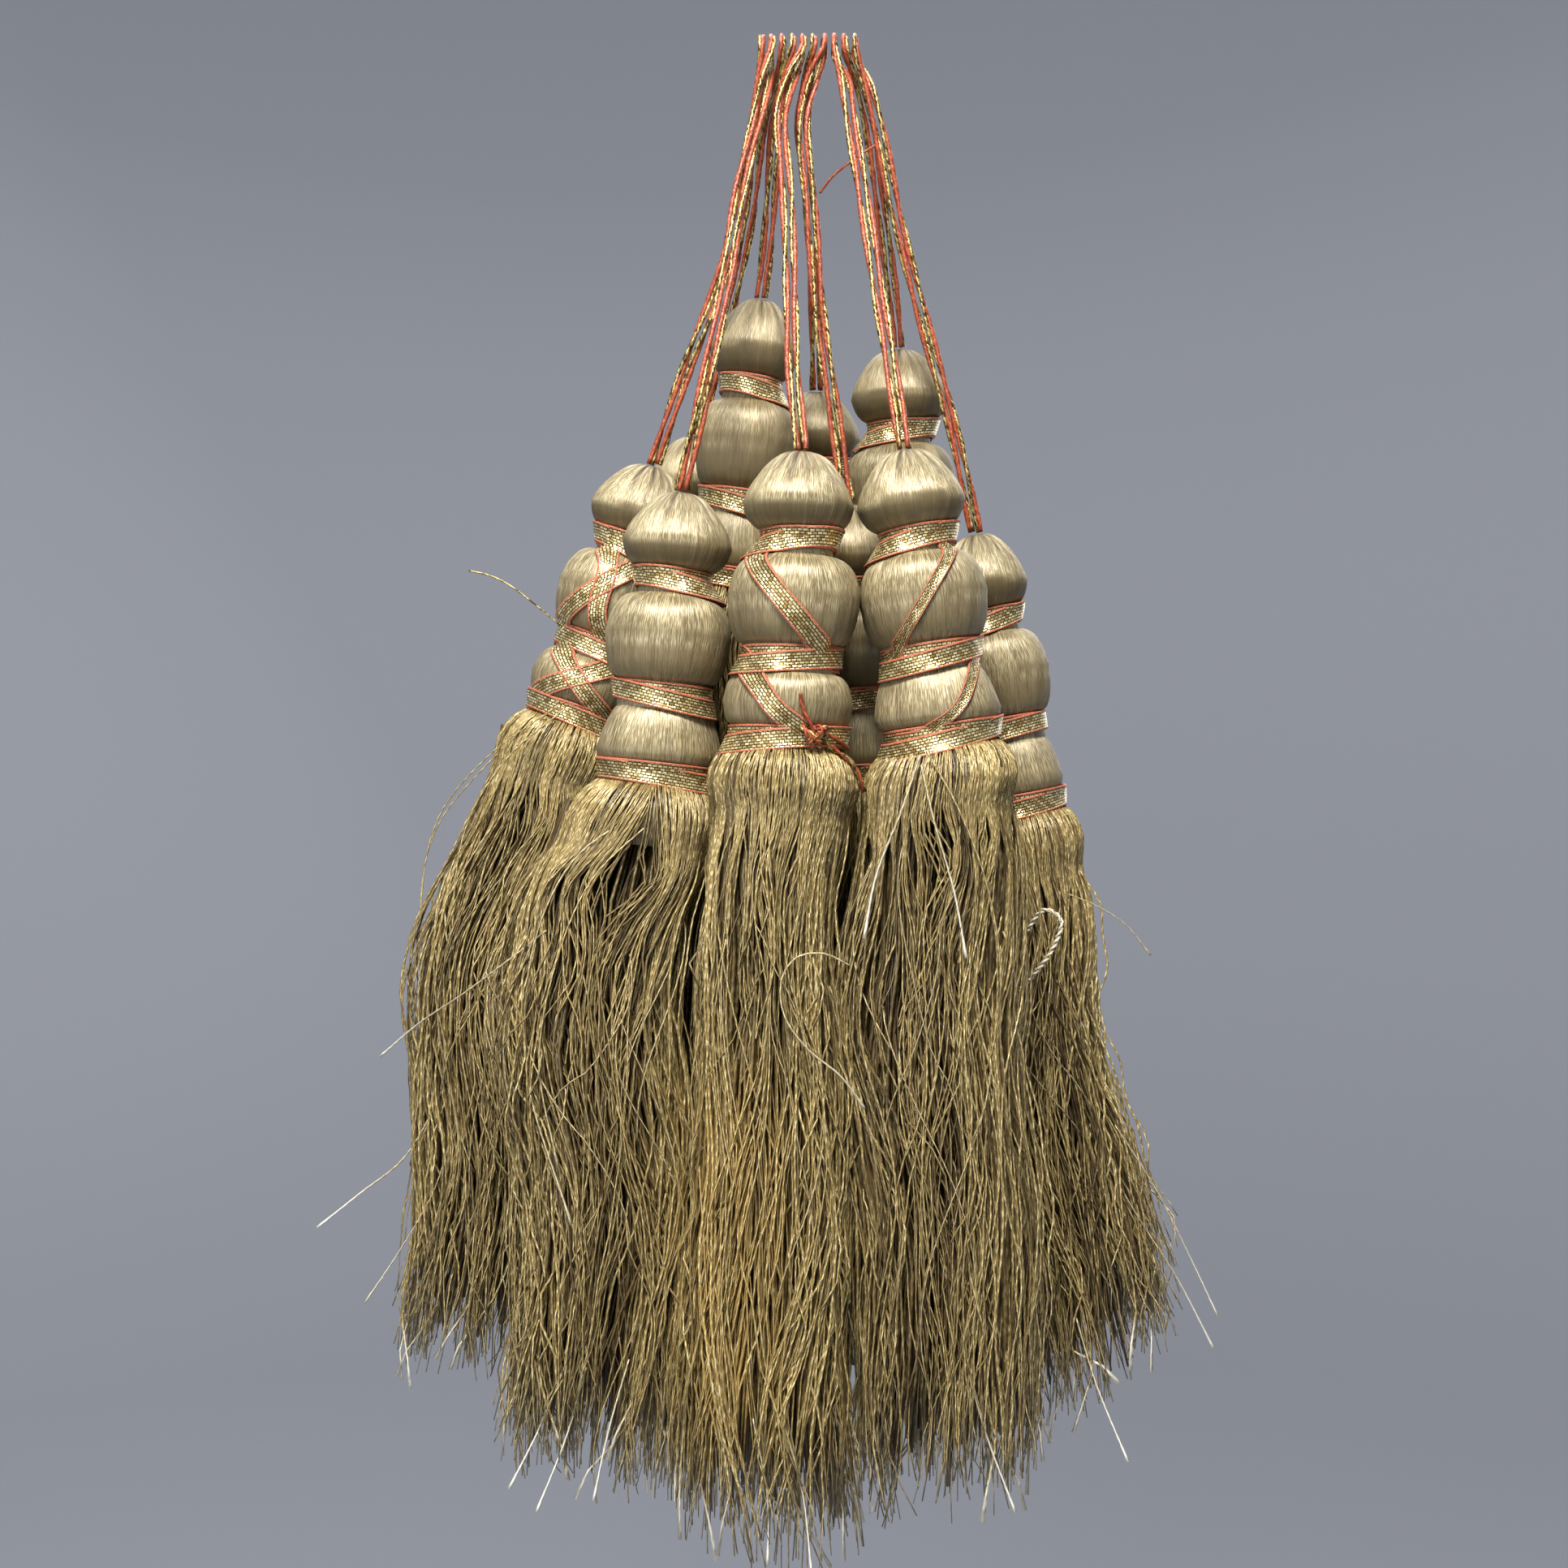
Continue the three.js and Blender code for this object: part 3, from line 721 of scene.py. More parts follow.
@dataclass
class TasselHead:
    """The head of one tassel: threads drawn over three turned bulbs and a shoulder."""

    tassel: Tassel
    finish: bpy.types.Material
    shape: HeadShape = field(init=False)
    rng: np.random.Generator = field(init=False)
    phase: np.ndarray = field(init=False)

    def __post_init__(self) -> None:
        """Finds the turned form and starts the random draws."""
        self.shape = HeadShape(self.tassel)
        self.rng = np.random.default_rng(100 + self.tassel.order)
        self.phase = self.rng.uniform(0, TURN, 6)

    def depths(self) -> np.ndarray:
        """Where the head's rows of points lie, from the foot up and closer where its outline turns."""
        shape = self.shape
        rows = []
        counts = ((12, 7), (9, 9), (9, 6))
        for bulb, (upper, lower), (neck_from, neck_to) in zip(shape.bulbs, counts, shape.necks):
            down = np.linspace(TURN / 4, 0, upper)
            rows.extend(bulb.widest - (bulb.widest - bulb.start) * np.sin(down))
            down = np.linspace(0, TURN / 4, lower)[1:]
            rows.extend(bulb.widest + (bulb.end - bulb.widest) * np.sin(down))
            rows.append((neck_from + neck_to) / 2)
            rows.append(neck_to - 0.05)
        rows.extend(np.linspace(shape.start + 0.3, shape.end, 7))
        return np.array(rows)[::-1]

    def build(self) -> bpy.types.Object:
        """Makes the head."""
        columns = NEAR_COLUMNS if self.tassel.near else FAR_COLUMNS
        depth = self.depths()[:, None]
        turn = (np.arange(columns) * TURN / columns)[None, :]
        fold = self.folds(turn)
        gather = 1 - ease(0.0, 8.0, depth)
        radius = self.shape.radius(depth) + np.zeros_like(turn)
        radius = radius + 0.75 * gather * fold * np.minimum(1, radius / 5)
        radius = radius + self.relief(turn, depth)
        # Painted shade in the valleys of the gathered folds and round the very top, where the cord goes in.
        painted_crease_shade = np.clip(gather * ease(0.1, -0.9, fold) * 1.1, 0, 1)
        painted_crease_shade = np.maximum(painted_crease_shade, (1 - ease(0, 1.0, depth)) * 0.6)
        around = np.arange(columns + 1) * TURN * 14 / columns
        traits = {"shaded_band": self.painted_shade_band(turn, depth)[None], "painted_crease_shade": painted_crease_shade[None]}
        draft = Draft()
        points = self.shape.point(turn, depth, radius)
        draft.add_rings(points[None], around, depth[None, :, 0], traits)
        head = draft.piece(f"head_{self.tassel.name}", [self.finish], "silk")
        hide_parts(f"tassel_{self.tassel.name}")
        return head

    def folds(self, turn: np.ndarray) -> np.ndarray:
        """The folds that the threads make where they are gathered under the cord, from -1 to 1."""
        phase = self.phase
        fine = np.cos(19 * turn + phase[0] + 1.3 * np.sin(3 * turn + phase[1]))
        return 0.6 * fine + 0.4 * np.cos(11 * turn + phase[2] + np.sin(2 * turn))

    def relief(self, turn: np.ndarray, depth: np.ndarray) -> np.ndarray:
        """How far the threads, the lumps and the ridges stand off the turned form.

        Args:
            turn: The angle of each column of points.
            depth: The depth of each row of points.

        Returns:
            Heights by row and column.
        """
        dome, ball, third = self.shape.bulbs
        phase = self.phase
        thread = self.rng.normal(0, 1, (4, turn.shape[1]))
        strength = np.array([0.05, 0.035, 0.035, 0.04])
        form = np.searchsorted([dome.end, ball.end, third.end, 1e3], depth[:, 0])
        result = (strength[:, None] * thread)[np.minimum(form, 3)] * ease(1.0, 6.0, depth)
        lump = 0.22 * np.sin(2 * turn + phase[3] + depth / 9)
        lump = lump + 0.14 * np.sin(5 * turn + phase[4] - depth / 6)
        result = result + lump * ease(3, 9, depth)
        level = depth - 0.5 * np.sin(turn + phase[5]) - 0.3 * np.sin(3 * turn)
        result = result + 0.16 * np.exp(-(((depth - dome.widest + 0.3) / 0.6) ** 2))
        result = result + 0.30 * np.exp(-(((level - ball.widest) / 0.6) ** 2))
        return result + 0.22 * np.exp(-(((depth - third.widest) / 0.5) ** 2))

    def painted_shade_band(self, turn: np.ndarray, depth: np.ndarray) -> np.ndarray:
        """How much painted shade the threads get: most of all on the lower half of each bulb, with more on
        the heads further back.

        Args:
            turn: The angle of each column of points.
            depth: The depth of each row of points.

        Returns:
            Numbers from 0 to 1 by row and column.
        """
        dome, ball, third = self.shape.bulbs
        below = depth + 0.35 * np.sin(2 * turn + self.phase[2]) + 0.2 * np.sin(7 * turn + self.phase[3])
        shaded_band = ease(dome.widest - 0.2, dome.widest + 0.5, below)
        shaded_band = shaded_band * (1 - 0.5 * ease(dome.end - 2.6, dome.end - 1, below))
        shaded_band = np.where(depth > dome.end, 0, shaded_band)
        seam = np.exp(-(((below - ball.widest) / 0.7) ** 2))
        low = ease(ball.widest + 1.6, ball.widest + 3.2, below)
        low = low * (1 - 0.6 * ease(ball.end - 3, ball.end, below))
        shaded_band = 0.8 * shaded_band + np.where(depth < ball.end + 1, 0.35 * seam + 0.45 * low, 0)
        low = ease(third.widest - 3.5, third.widest, below)
        shaded_band = shaded_band + np.where((depth > ball.end) & (depth < third.end + 1), 0.3 * low, 0)
        # Painted shade: the heads further back get more of it all over.
        return np.clip(shaded_band + (0 if self.tassel.near else 0.2), 0, 1)


@dataclass(frozen=True)
class Row:
    """One height of a skirt: its share of the length, its middle, half width and half depth."""

    share: float
    x: float
    y: float
    wide: float
    deep: float


SKIRTS = {
    "t1": (
        Row(0, -38, -20.5, 18, 15.4),
        Row(0.08, -42.5, -22.5, 19.8, 14.5),
        Row(0.2, -44.7, -25, 21, 14.5),
        Row(0.6, -45.5, -28, 19.5, 14.5),
        Row(1, -46.5, -29, 18.5, 15),
    ),
    "t2": (Row(0.2, -8.2, -33, 14.8, 14), Row(0.6, -9.6, -35, 18, 15), Row(1, -9.2, -36, 19, 15.5)),
    "t3": (
        Row(0, 27.4, -28, 16.2, 15.6),
        Row(0.2, 26.2, -29, 18.5, 14.5),
        Row(0.6, 27.6, -31, 19, 15),
        Row(1, 27.6, -33, 18.5, 15.5),
    ),
    "t4": (Row(0.2, 53, 6, 14, 14), Row(0.6, 57, 5, 16.5, 16), Row(1, 66, 4, 17.5, 17)),
    "t5": (
        Row(0, -59.5, 5.5, 14.6, 14.2),
        Row(0.08, -62.5, 5, 16, 14),
        Row(0.16, -67, 4, 16.5, 14),
        Row(0.26, -70.5, 3, 17.2, 14.5),
        Row(0.6, -73, 3, 17, 16),
        Row(1, -78, 2, 16.5, 17),
    ),
    "t6": (Row(0.2, -21, 15, 13, 12.5), Row(0.6, -20.5, 16, 15, 13), Row(1, -20, 16, 16, 13.5)),
    "t7": (Row(0.2, 25, 27, 14.5, 14), Row(0.6, 28, 30, 17, 15.5), Row(1, 31, 33, 18, 16)),
    "t8": (Row(0.2, 0, 49, 14.5, 14), Row(0.6, -1, 52, 16, 15), Row(1, -2, 56, 17, 16)),
    "t9": (Row(0.2, 11, -1, 14, 12.5), Row(0.6, 12, 0, 16, 13.5), Row(1, 13, 0, 17, 14)),
    "t10": (Row(0.2, -35, 40, 14.5, 14), Row(0.6, -39, 42, 17, 15.5), Row(1, -43, 44, 18, 16)),
}


@dataclass(frozen=True)
class Opening:
    """A place at the front of a skirt where the threads stand apart.

    Attributes:
        share: How far down the skirt it is widest.
        reach: How far it goes on above and below, as a share of the skirt's length.
        across: Where it is, from -1 at the skirt's left edge to 1 at its right.
        half: Half its width.
        room: How far beside it the threads make room for it.
    """

    share: float
    reach: float
    across: float
    half: float
    room: float = 0.3


OPENINGS = {
    "t1": (
        Opening(0.06, 0.08, 0.10, 7.0, 0.9),
        Opening(0.30, 0.13, -0.15, 1.7, 0.4),
        Opening(0.17, 0.07, 0.55, 0.9),
    ),
    "t2": (
        Opening(0.13, 0.06, -0.45, 1.0),
        Opening(0.15, 0.08, -0.10, 1.0),
        Opening(0.12, 0.06, 0.34, 1.1),
        Opening(0.34, 0.12, 0.10, 1.5, 0.4),
    ),
    "t3": (
        Opening(0.085, 0.085, -0.10, 3.2, 0.9),
        Opening(0.06, 0.05, 0.45, 1.5),
        Opening(0.33, 0.10, 0.12, 1.3, 0.35),
    ),
    "t4": (Opening(0.16, 0.07, -0.10, 0.9), Opening(0.30, 0.10, 0.35, 0.9)),
    "t5": (Opening(0.13, 0.08, -0.35, 2.0, 0.4), Opening(0.20, 0.08, 0.15, 1.1)),
}

# The height of each skirt's tips, and how much higher they are at its right edge than in its middle.
TIPS = {
    "t1": (-313, -3),
    "t2": (-323, -4),
    "t3": (-316, 2),
    "t4": (-303, 9),
    "t5": (-300, -4),
    "t6": (-268, 0),
    "t7": (-290, 2),
    "t8": (-293, 0),
    "t9": (-311, 0),
    "t10": (-299, -2),
}
SWAY = 1.4


class SkirtShape:
    """The space that one skirt hangs in."""

    def __init__(self, tassel: Tassel) -> None:
        """Joins the head's foot to the skirt's rows.

        Args:
            tassel: The tassel.
        """
        self.tassel = tassel
        self.head = HeadShape(tassel)
        foot = self.head.set_in_bunch(np.array([0, 0, -self.head.end]))
        reach = self.head.foot + 0.6
        rows = [(r.share, r.x, r.y, r.wide, r.deep) for r in SKIRTS[tassel.name]]
        if rows[0][0] > 0:
            rows.insert(0, (0.0, foot[0], foot[1], reach, reach))
        self.rows = np.array(rows, float)
        self.foot_z = foot[2]
        self.tip_z, self.slant = TIPS[tassel.name]

    def place(self, share: Any, across: Any, along: Any, trim: Any = 0.0) -> np.ndarray:
        """Finds points in the skirt.

        Args:
            share: The share of the skirt's length.
            across: From -1 at its left edge to 1 at its right.
            along: From -1 at its front to 1 at its back.
            trim: How much higher than its neighbours a thread ends.

        Returns:
            The points.
        """
        share, across, along, trim = np.broadcast_arrays(share, across, along, trim)
        rows = smooth_through(self.rows[:, 0], self.rows[:, 1:], share)
        x, y, wide, deep = np.moveaxis(rows, -1, 0)
        aside = self.parting(share, across, along)
        sway = SWAY * np.sin(7 * share + self.tassel.top[0]) * ease(0, 0.1, share)
        drop = self.tip_z - self.foot_z + trim + self.slant * across
        upright = np.stack(
            [x + across * wide + sway + aside, y + along * deep + sway / 3, self.foot_z + drop * share],
            axis=-1,
        )
        flat = np.stack([across * self.head.foot, along * self.head.foot, 0 * across], axis=-1)
        tilt = flat @ self.head.lean.T - flat
        return upright + tilt * (1 - ease(0, 0.15, share))[..., None]

    def parting(self, share: np.ndarray, across: np.ndarray, along: np.ndarray) -> Any:
        """How far threads stand aside for the skirt's openings, where it has any."""
        aside = np.zeros_like(share)
        for gap in OPENINGS.get(self.tassel.name, ()):
            beside = across - gap.across
            height = np.exp(-(((share - gap.share) / gap.reach) ** 2))
            room = np.maximum(0, 1 - np.abs(beside) / gap.room)
            aside = aside + gap.half * height * np.tanh(beside / 0.05) * room
        return aside * ease(-0.4, -0.8, along)

    def outwards(self, across: Any, along: Any) -> np.ndarray:
        """The level direction away from the middle of the skirt."""
        across, along = np.broadcast_arrays(across, along)
        return unit(np.stack([across, along, 0 * across + 0.01], axis=-1))


class Locks:
    """The locks that the threads of a skirt gather into, each with its own place, shade and sway."""

    def __init__(self, rng: np.random.Generator, count: int) -> None:
        """Draws them at random.

        Args:
            rng: Where the random numbers come from.
            count: How many locks there are.
        """
        self.count = count
        self.turn = (np.arange(count) + rng.uniform(-0.4, 0.4, count)) * TURN / count
        self.reach = rng.uniform(-0.18, 0.06, count)
        self.shade = rng.uniform(0.0, 0.9, count)
        self.phase = rng.uniform(0, TURN, count)
        self.trim = rng.normal(0, 3.0, count)
        self.swing = rng.normal(0, 0.14, count)
        self.pace = rng.uniform(0.7, 1.7, count)
        self.drift = rng.normal(0, 0.28, count)

    def pull(self, lock: np.ndarray, share: np.ndarray) -> np.ndarray:
        """How strongly each thread is drawn to its lock: most of all just below the shoulder."""
        pace, phase = self.pace[lock][:, None], 0.25 * self.phase[lock][:, None]
        wave = 0.40 + 0.32 * np.cos(pace * TURN * (share - 0.13) + phase - 0.8)
        return wave * ease(0.0, 0.08, share) * (1 - 0.6 * ease(0.5, 1.0, share))

    def sway(self, lock: np.ndarray, share: np.ndarray) -> np.ndarray:
        """How far round the skirt each thread's lock swings."""
        wave = np.sin(self.pace[lock][:, None] * TURN * share + self.phase[lock][:, None])
        drift = self.drift[lock][:, None] * ease(0.3, 1.1, share)
        return self.swing[lock][:, None] * wave * ease(0.0, 0.35, share) + drift


@dataclass(frozen=True)
class Fullness:
    """How many threads a skirt has.

    Attributes:
        heart: The thick unseen threads in its middle.
        under: The threads of the lower layers, and the points along each.
        top: The threads that show, and the points along each.
        wanderers: The loose threads that cross it.
        girth: The thickness of its threads beside the plain one.
    """

    heart: int
    under: tuple[int, int]
    top: tuple[int, int]
    wanderers: int
    girth: float


NEAR_SKIRT = Fullness(190, (240, 12), (270, 29), 9, 1.0)
FAR_SKIRT = Fullness(110, (130, 10), (150, 20), 5, 1.3)
LOCK_COUNT = 32
THREAD_RADII = (0.20, 0.31)
HEART_RADIUS = 0.6
WANDERER_RADIUS = 0.18

# Where the warmest locks hang, and the heights where their colour sets in and fades again.
WARM_X = -16
WARM_HALF_WIDTH = 15
WARM_FROM = (-215, -250)
WARM_TO = (-295, -318)

# The share of the top threads that bow out above the rest, and of those that are brushed out at the tip.
SPRUNG = {"t1": 0.09, "t5": 0.14}
SPRUNG_ELSEWHERE = 0.06
BRUSHED = 0.06


@dataclass
class TasselSkirt:
    """The skirt of one tassel: threads that come from under the ribbon, round the shoulder and hang."""

    tassel: Tassel
    finish: bpy.types.Material
    shape: SkirtShape = field(init=False)
    rng: np.random.Generator = field(init=False)
    locks: Locks = field(init=False)
    fullness: Fullness = field(init=False)

    def __post_init__(self) -> None:
        """Finds the space that the skirt hangs in and draws its locks."""
        self.shape = SkirtShape(self.tassel)
        self.rng = np.random.default_rng(200 + self.tassel.order)
        self.locks = Locks(self.rng, LOCK_COUNT)
        self.fullness = NEAR_SKIRT if self.tassel.near else FAR_SKIRT

    def build(self) -> bpy.types.Object:
        """Makes the skirt."""
        draft = Draft()
        self.add_heart(draft)
        self.add_threads(draft, *self.fullness.under, under=True)
        self.add_threads(draft, *self.fullness.top)
        self.add_wanderers(draft, self.fullness.wanderers)
        skirt = draft.piece(f"skirt_{self.tassel.name}", [self.finish], "silk")
        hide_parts(f"tassel_{self.tassel.name}")
        return skirt

    def add_tubes(
        self,
        draft: Draft,
        paths: np.ndarray,
        radii: np.ndarray,
        facing: np.ndarray,
        shade: np.ndarray,
        pale: np.ndarray,
    ) -> None:
        """Adds threads along paths, with the numbers that their finish reads.

        Args:
            draft: Where they are gathered.
            paths: Points by thread, step and axis.
            radii: Their radius by thread and step.
            facing: The way out of the skirt at each point.
            shade: How light each thread is, from 0 to 1, painted shade included.
            pale: How bleached it is, by thread and step.
        """
        rings = tube_rings(paths, radii, 3, facing)
        traits = {"shade": shade[:, None] + 0 * radii, "pale": pale, "warm": self.warmth(paths)}
        draft.add_rings(rings, np.arange(4.0), lengths_along(paths), traits)

    def warmth(self, paths: np.ndarray) -> np.ndarray:
        """How golden the threads are: the locks left of the middle of the bunch are the warmest."""
        x, z = paths[..., 0], paths[..., 2]
        middle = np.exp(-(((x - WARM_X) / WARM_HALF_WIDTH) ** 2))
        low = ease(*WARM_FROM, z) * (1 - ease(*WARM_TO, z))
        patchy = 0.5 + 0.5 * np.sin(x * 0.9 + 2)
        return middle * low * (0.35 + 0.65 * patchy)

    def add_heart(self, draft: Draft) -> None:
        """Adds the thick unseen threads that fill the middle of the skirt, kept nearly at the deep colour
        as painted shade.
        """
        count, steps = self.fullness.heart, 9
        turn = self.rng.uniform(0, TURN, count)[:, None]
        reach = np.sqrt(self.rng.uniform(0.02, 0.74, count))[:, None]
        share = np.linspace(-0.03, 0.95, steps)[None, :]
        trim = self.rng.normal(3, 4, count)[:, None]
        paths = self.shape.place(share, reach * np.sin(turn), -reach * np.cos(turn), trim)
        paths[..., 2] += np.where(share < 0, 5.0, 0.0)
        paths = paths + self.waves(share, turn[:, 0], 0.4)
        radii = np.full((count, steps), HEART_RADIUS)
        radii[:, -1] = HEART_RADIUS / 2
        facing = self.shape.outwards(np.sin(turn), -np.cos(turn)) + 0 * paths
        # Painted shade: the heart threads are nearly the deep colour, for the shade inside the skirt.
        shade = self.rng.uniform(0.0, 0.15, count)
        self.add_tubes(draft, paths, radii, facing, shade, 0 * radii)

    def add_threads(self, draft: Draft, count: int, steps: int, under: bool = False) -> None:
        """Adds the threads that show, or those that show between them.

        Args:
            draft: Where they are gathered.
            count: How many there are.
            steps: How many points each has below the head.
            under: Whether they are the lower layers.
        """
        rng, locks = self.rng, self.locks
        turn = (np.arange(count) + rng.uniform(-0.5, 0.5, count)) * TURN / count
        layer = rng.integers(0, 2, count) / 3 + (2 / 3 if under else 0)
        lock = np.round(turn / TURN * locks.count + rng.normal(0, 0.25, count)).astype(int) % locks.count
        brushed = rng.uniform(0, 1, count) < (0 if under else BRUSHED)
        sprung_share = SPRUNG.get(self.tassel.name, SPRUNG_ELSEWHERE)
        sprung = rng.uniform(0, 1, count) < (0 if under else sprung_share)

        share = (np.linspace(0, 1, steps) ** 1.25)[None, :]
        away = (locks.turn[lock] - turn + TURN / 2) % TURN - TURN / 2
        angle = turn[:, None] + away[:, None] * locks.pull(lock, share) + locks.sway(lock, share)
        flick = np.where(brushed, rng.choice([-1, 1], count) * rng.uniform(0.15, 0.7, count), 0)
        angle = angle + self.wander(share, count) + flick[:, None] * ease(0.8, 1.0, share) ** 1.5
        drawn = locks.reach[lock][:, None] * ease(0.0, 0.12, share)
        loose = rng.normal(0, 0.05, count)[:, None] * ease(0.03, 0.5, share)
        reach = 1 - 0.14 * layer[:, None] * ease(0, 0.2, share) + drawn + loose
        spring = np.where(sprung, rng.uniform(0.05, 0.22, count), 0)[:, None]
        reach = reach + spring * ease(0, 0.1, share) * (1 - ease(0.22, 0.6, share))
        splay = np.where(brushed, rng.uniform(0.05, 0.35, count), rng.normal(0.03, 0.07, count))
        reach = reach + splay[:, None] * ease(0.82, 1.0, share)
        trim = locks.trim[lock] + rng.gamma(1.6, 5.0, count) - 4.0
        trim = np.where(brushed, locks.trim[lock] - rng.uniform(1, 9, count), trim)
        hanging = self.shape.place(share, reach * np.sin(angle), -reach * np.cos(angle), trim[:, None])
        hanging = hanging + self.waves(share, locks.phase[lock], 0.5 if under else 1.0)
        paths = self.over_shoulder(turn, layer, hanging)
        walked = lengths_along(paths)
        left = walked[:, -1:] - walked
        thickness = rng.uniform(*THREAD_RADII, count)[:, None] * self.fullness.girth
        ending = np.where(brushed[:, None], 0.9 * (1 - ease(0, 7, left)), -0.45 * (1 - ease(0, 30, left)))
        radii = thickness * (1 + ending) + 0 * left
        pale = (1 - ease(3, 13, left)) * np.where(brushed, rng.uniform(0.6, 1.0, count), 0.1)[:, None]
        # Each lock's and each thread's own tone, less painted shade on the lower layers.
        shade = np.clip(0.6 * locks.shade[lock] + rng.uniform(0, 0.62, count) - 0.3 * layer, 0, 1)
        facing = self.shape.outwards(np.sin(turn)[:, None], -np.cos(turn)[:, None]) + 0 * paths
        self.add_tubes(draft, paths, radii, facing, shade, pale)

    def over_shoulder(self, turn: np.ndarray, layer: np.ndarray, hanging: np.ndarray) -> np.ndarray:
        """Leads threads from under the ribbon and over the head's shoulder to where they hang.

        Args:
            turn: The angle of each thread.
            layer: How deep each thread lies, from 0 at the top.
            hanging: Points below the head by thread, step and axis.

        Returns:
            The whole paths.
        """
        head = self.shape.head
        depth = np.linspace(head.necks[2][1] - 1.4, head.end, 6)[None, :]
        down = (depth - depth[:, :1]) / (depth[:, -1:] - depth[:, :1])
        lift = (0.1 + 0.85 * (1 - layer))[:, None] * ease(0, 0.25, down)
        start = turn[:, None] + self.rng.normal(0, 0.07, len(turn))[:, None] * (1 - down)
        over = head.point(start, depth, head.radius(depth) + lift)
        over = over + (hanging[:, :1] - over[:, -1:]) * (down**1.3)[..., None]
        return np.concatenate([over[:, :-1], hanging], axis=1)

    def wander(self, share: np.ndarray, count: int) -> np.ndarray:
        """How far each thread strays round the skirt as it hangs, and a few that sweep across others.

        Args:
            share: The share of the skirt's length at each step.
            count: How many threads there are.

        Returns:
            Angles by thread and step.
        """
        rng = self.rng
        size = rng.gamma(2.0, 0.05, count)[:, None]
        pace = rng.uniform(0.5, 1.8, count)[:, None]
        phase = rng.uniform(0, TURN, count)[:, None]
        swing = size * np.sin(pace * TURN * share + phase) * ease(0.0, 0.2, share)
        sweep = rng.choice([-1, 1], count) * rng.uniform(0.25, 0.9, count)
        sweep = np.where(rng.uniform(0, 1, count) < 0.18, sweep, 0)[:, None]
        middle = rng.uniform(0.2, 0.7, count)[:, None]
        return swing + sweep * ease(middle - 0.35, middle + 0.35, share) * ease(0, 0.1, share)

    def waves(self, share: np.ndarray, lock_phase: np.ndarray, quick: float) -> np.ndarray:
        """How far the threads of the locks wave to and fro as they hang.

        Args:
            share: The share of the skirt's length at each step.
            lock_phase: Where in its wave each thread's lock starts.
            quick: How many waves they have beside the threads on top.

        Returns:
            Moves by thread, step and axis.
        """
        rng, count = self.rng, len(lock_phase)
        phase = rng.uniform(0, TURN, (count, 3))
        pace = rng.uniform(3, 7, (count, 3)) * quick
        size = rng.gamma(2.0, 0.26, count)
        size = np.where(rng.uniform(0, 1, count) < 0.06, size + 1.2, size)
        grown = ease(0.0, 0.3, share)
        own = [np.sin(pace[:, k : k + 1] * TURN * share + phase[:, k : k + 1]) for k in range(3)]
        own = np.stack(own, axis=-1) * (size[:, None] * grown)[..., None]
        shared = 1.1 * np.sin(1.9 * TURN * share + lock_phase[:, None]) * grown
        together = np.stack([shared, 0.6 * shared, 0 * shared], axis=-1)
        return own * np.array([1, 1, 0.3]) + together

    def add_wanderers(self, draft: Draft, count: int) -> None:
        """Adds fine loose threads that cross the skirt in long curves.

        Args:
            draft: Where they are gathered.
            count: How many there are.
        """
        rng = self.rng
        down = np.linspace(0, 1, 22)[None, :]
        start = rng.uniform(0.0, 0.4, count)[:, None]
        share = start + rng.uniform(0.3, 0.55, count)[:, None] * down
        drift = rng.choice([-1, 1], count)[:, None] * rng.uniform(0.3, 1.1, count)[:, None]
        bow = rng.normal(0, 0.25, count)[:, None] * np.sin(TURN / 2 * down)
        angle = rng.uniform(-2.0, 2.0, count)[:, None] + drift * ease(0, 1, down) + bow
        reach = 0.93 + 0.12 * np.sin(TURN / 2 * down) ** 0.5
        paths = self.shape.place(share, reach * np.sin(angle), -reach * np.cos(angle))
        radii = np.full(angle.shape, WANDERER_RADIUS)
        facing = self.shape.outwards(np.sin(angle), -np.cos(angle))
        self.add_tubes(draft, paths, radii, facing, rng.uniform(0.5, 1.0, count), 0.1 + 0 * radii)


RIBBON_WIDTH = 4.4
RIBBON_EDGE = 0.38
RIBBON_THICKNESS = 0.3


@dataclass(frozen=True)
class Crossing:
    """The ribbon's way over a bulb, from an angle at the neck above to one at the neck below."""

    bulb: int
    start: float
    end: float
    width: float = RIBBON_WIDTH


PLAIN_CROSSINGS = (Crossing(1, 150, 205), Crossing(2, 160, 210))
CROSSINGS = {
    "t1": (Crossing(1, 150, 205), Crossing(2, 165, 215)),
    "t2": (Crossing(1, -58, 34), Crossing(2, -50, 12)),
    "t3": (Crossing(1, 42, -42, 2.4), Crossing(2, 58, -6, 2.4)),
    "t4": (Crossing(1, 160, 215), Crossing(2, 150, 200)),
    "t5": (Crossing(1, -24, 10), Crossing(1, 34, -62), Crossing(2, 36, -54), Crossing(2, -44, 30)),
    "t9": (Crossing(1, 155, 205), Crossing(2, 160, 210)),
}

# Where each point of the ribbon's face lies across it, as a share of its width, and how high it stands.
RIBBON_FACE = ((-0.5, 0.06), (-0.44, 0.18), (-0.38, 0), (0, 0.06), (0.38, 0), (0.44, 0.18), (0.5, 0.06))

# The tassels whose upper turns fall to the right. Those of the others rise.
FALLING = ("t1", "t5", "t6")


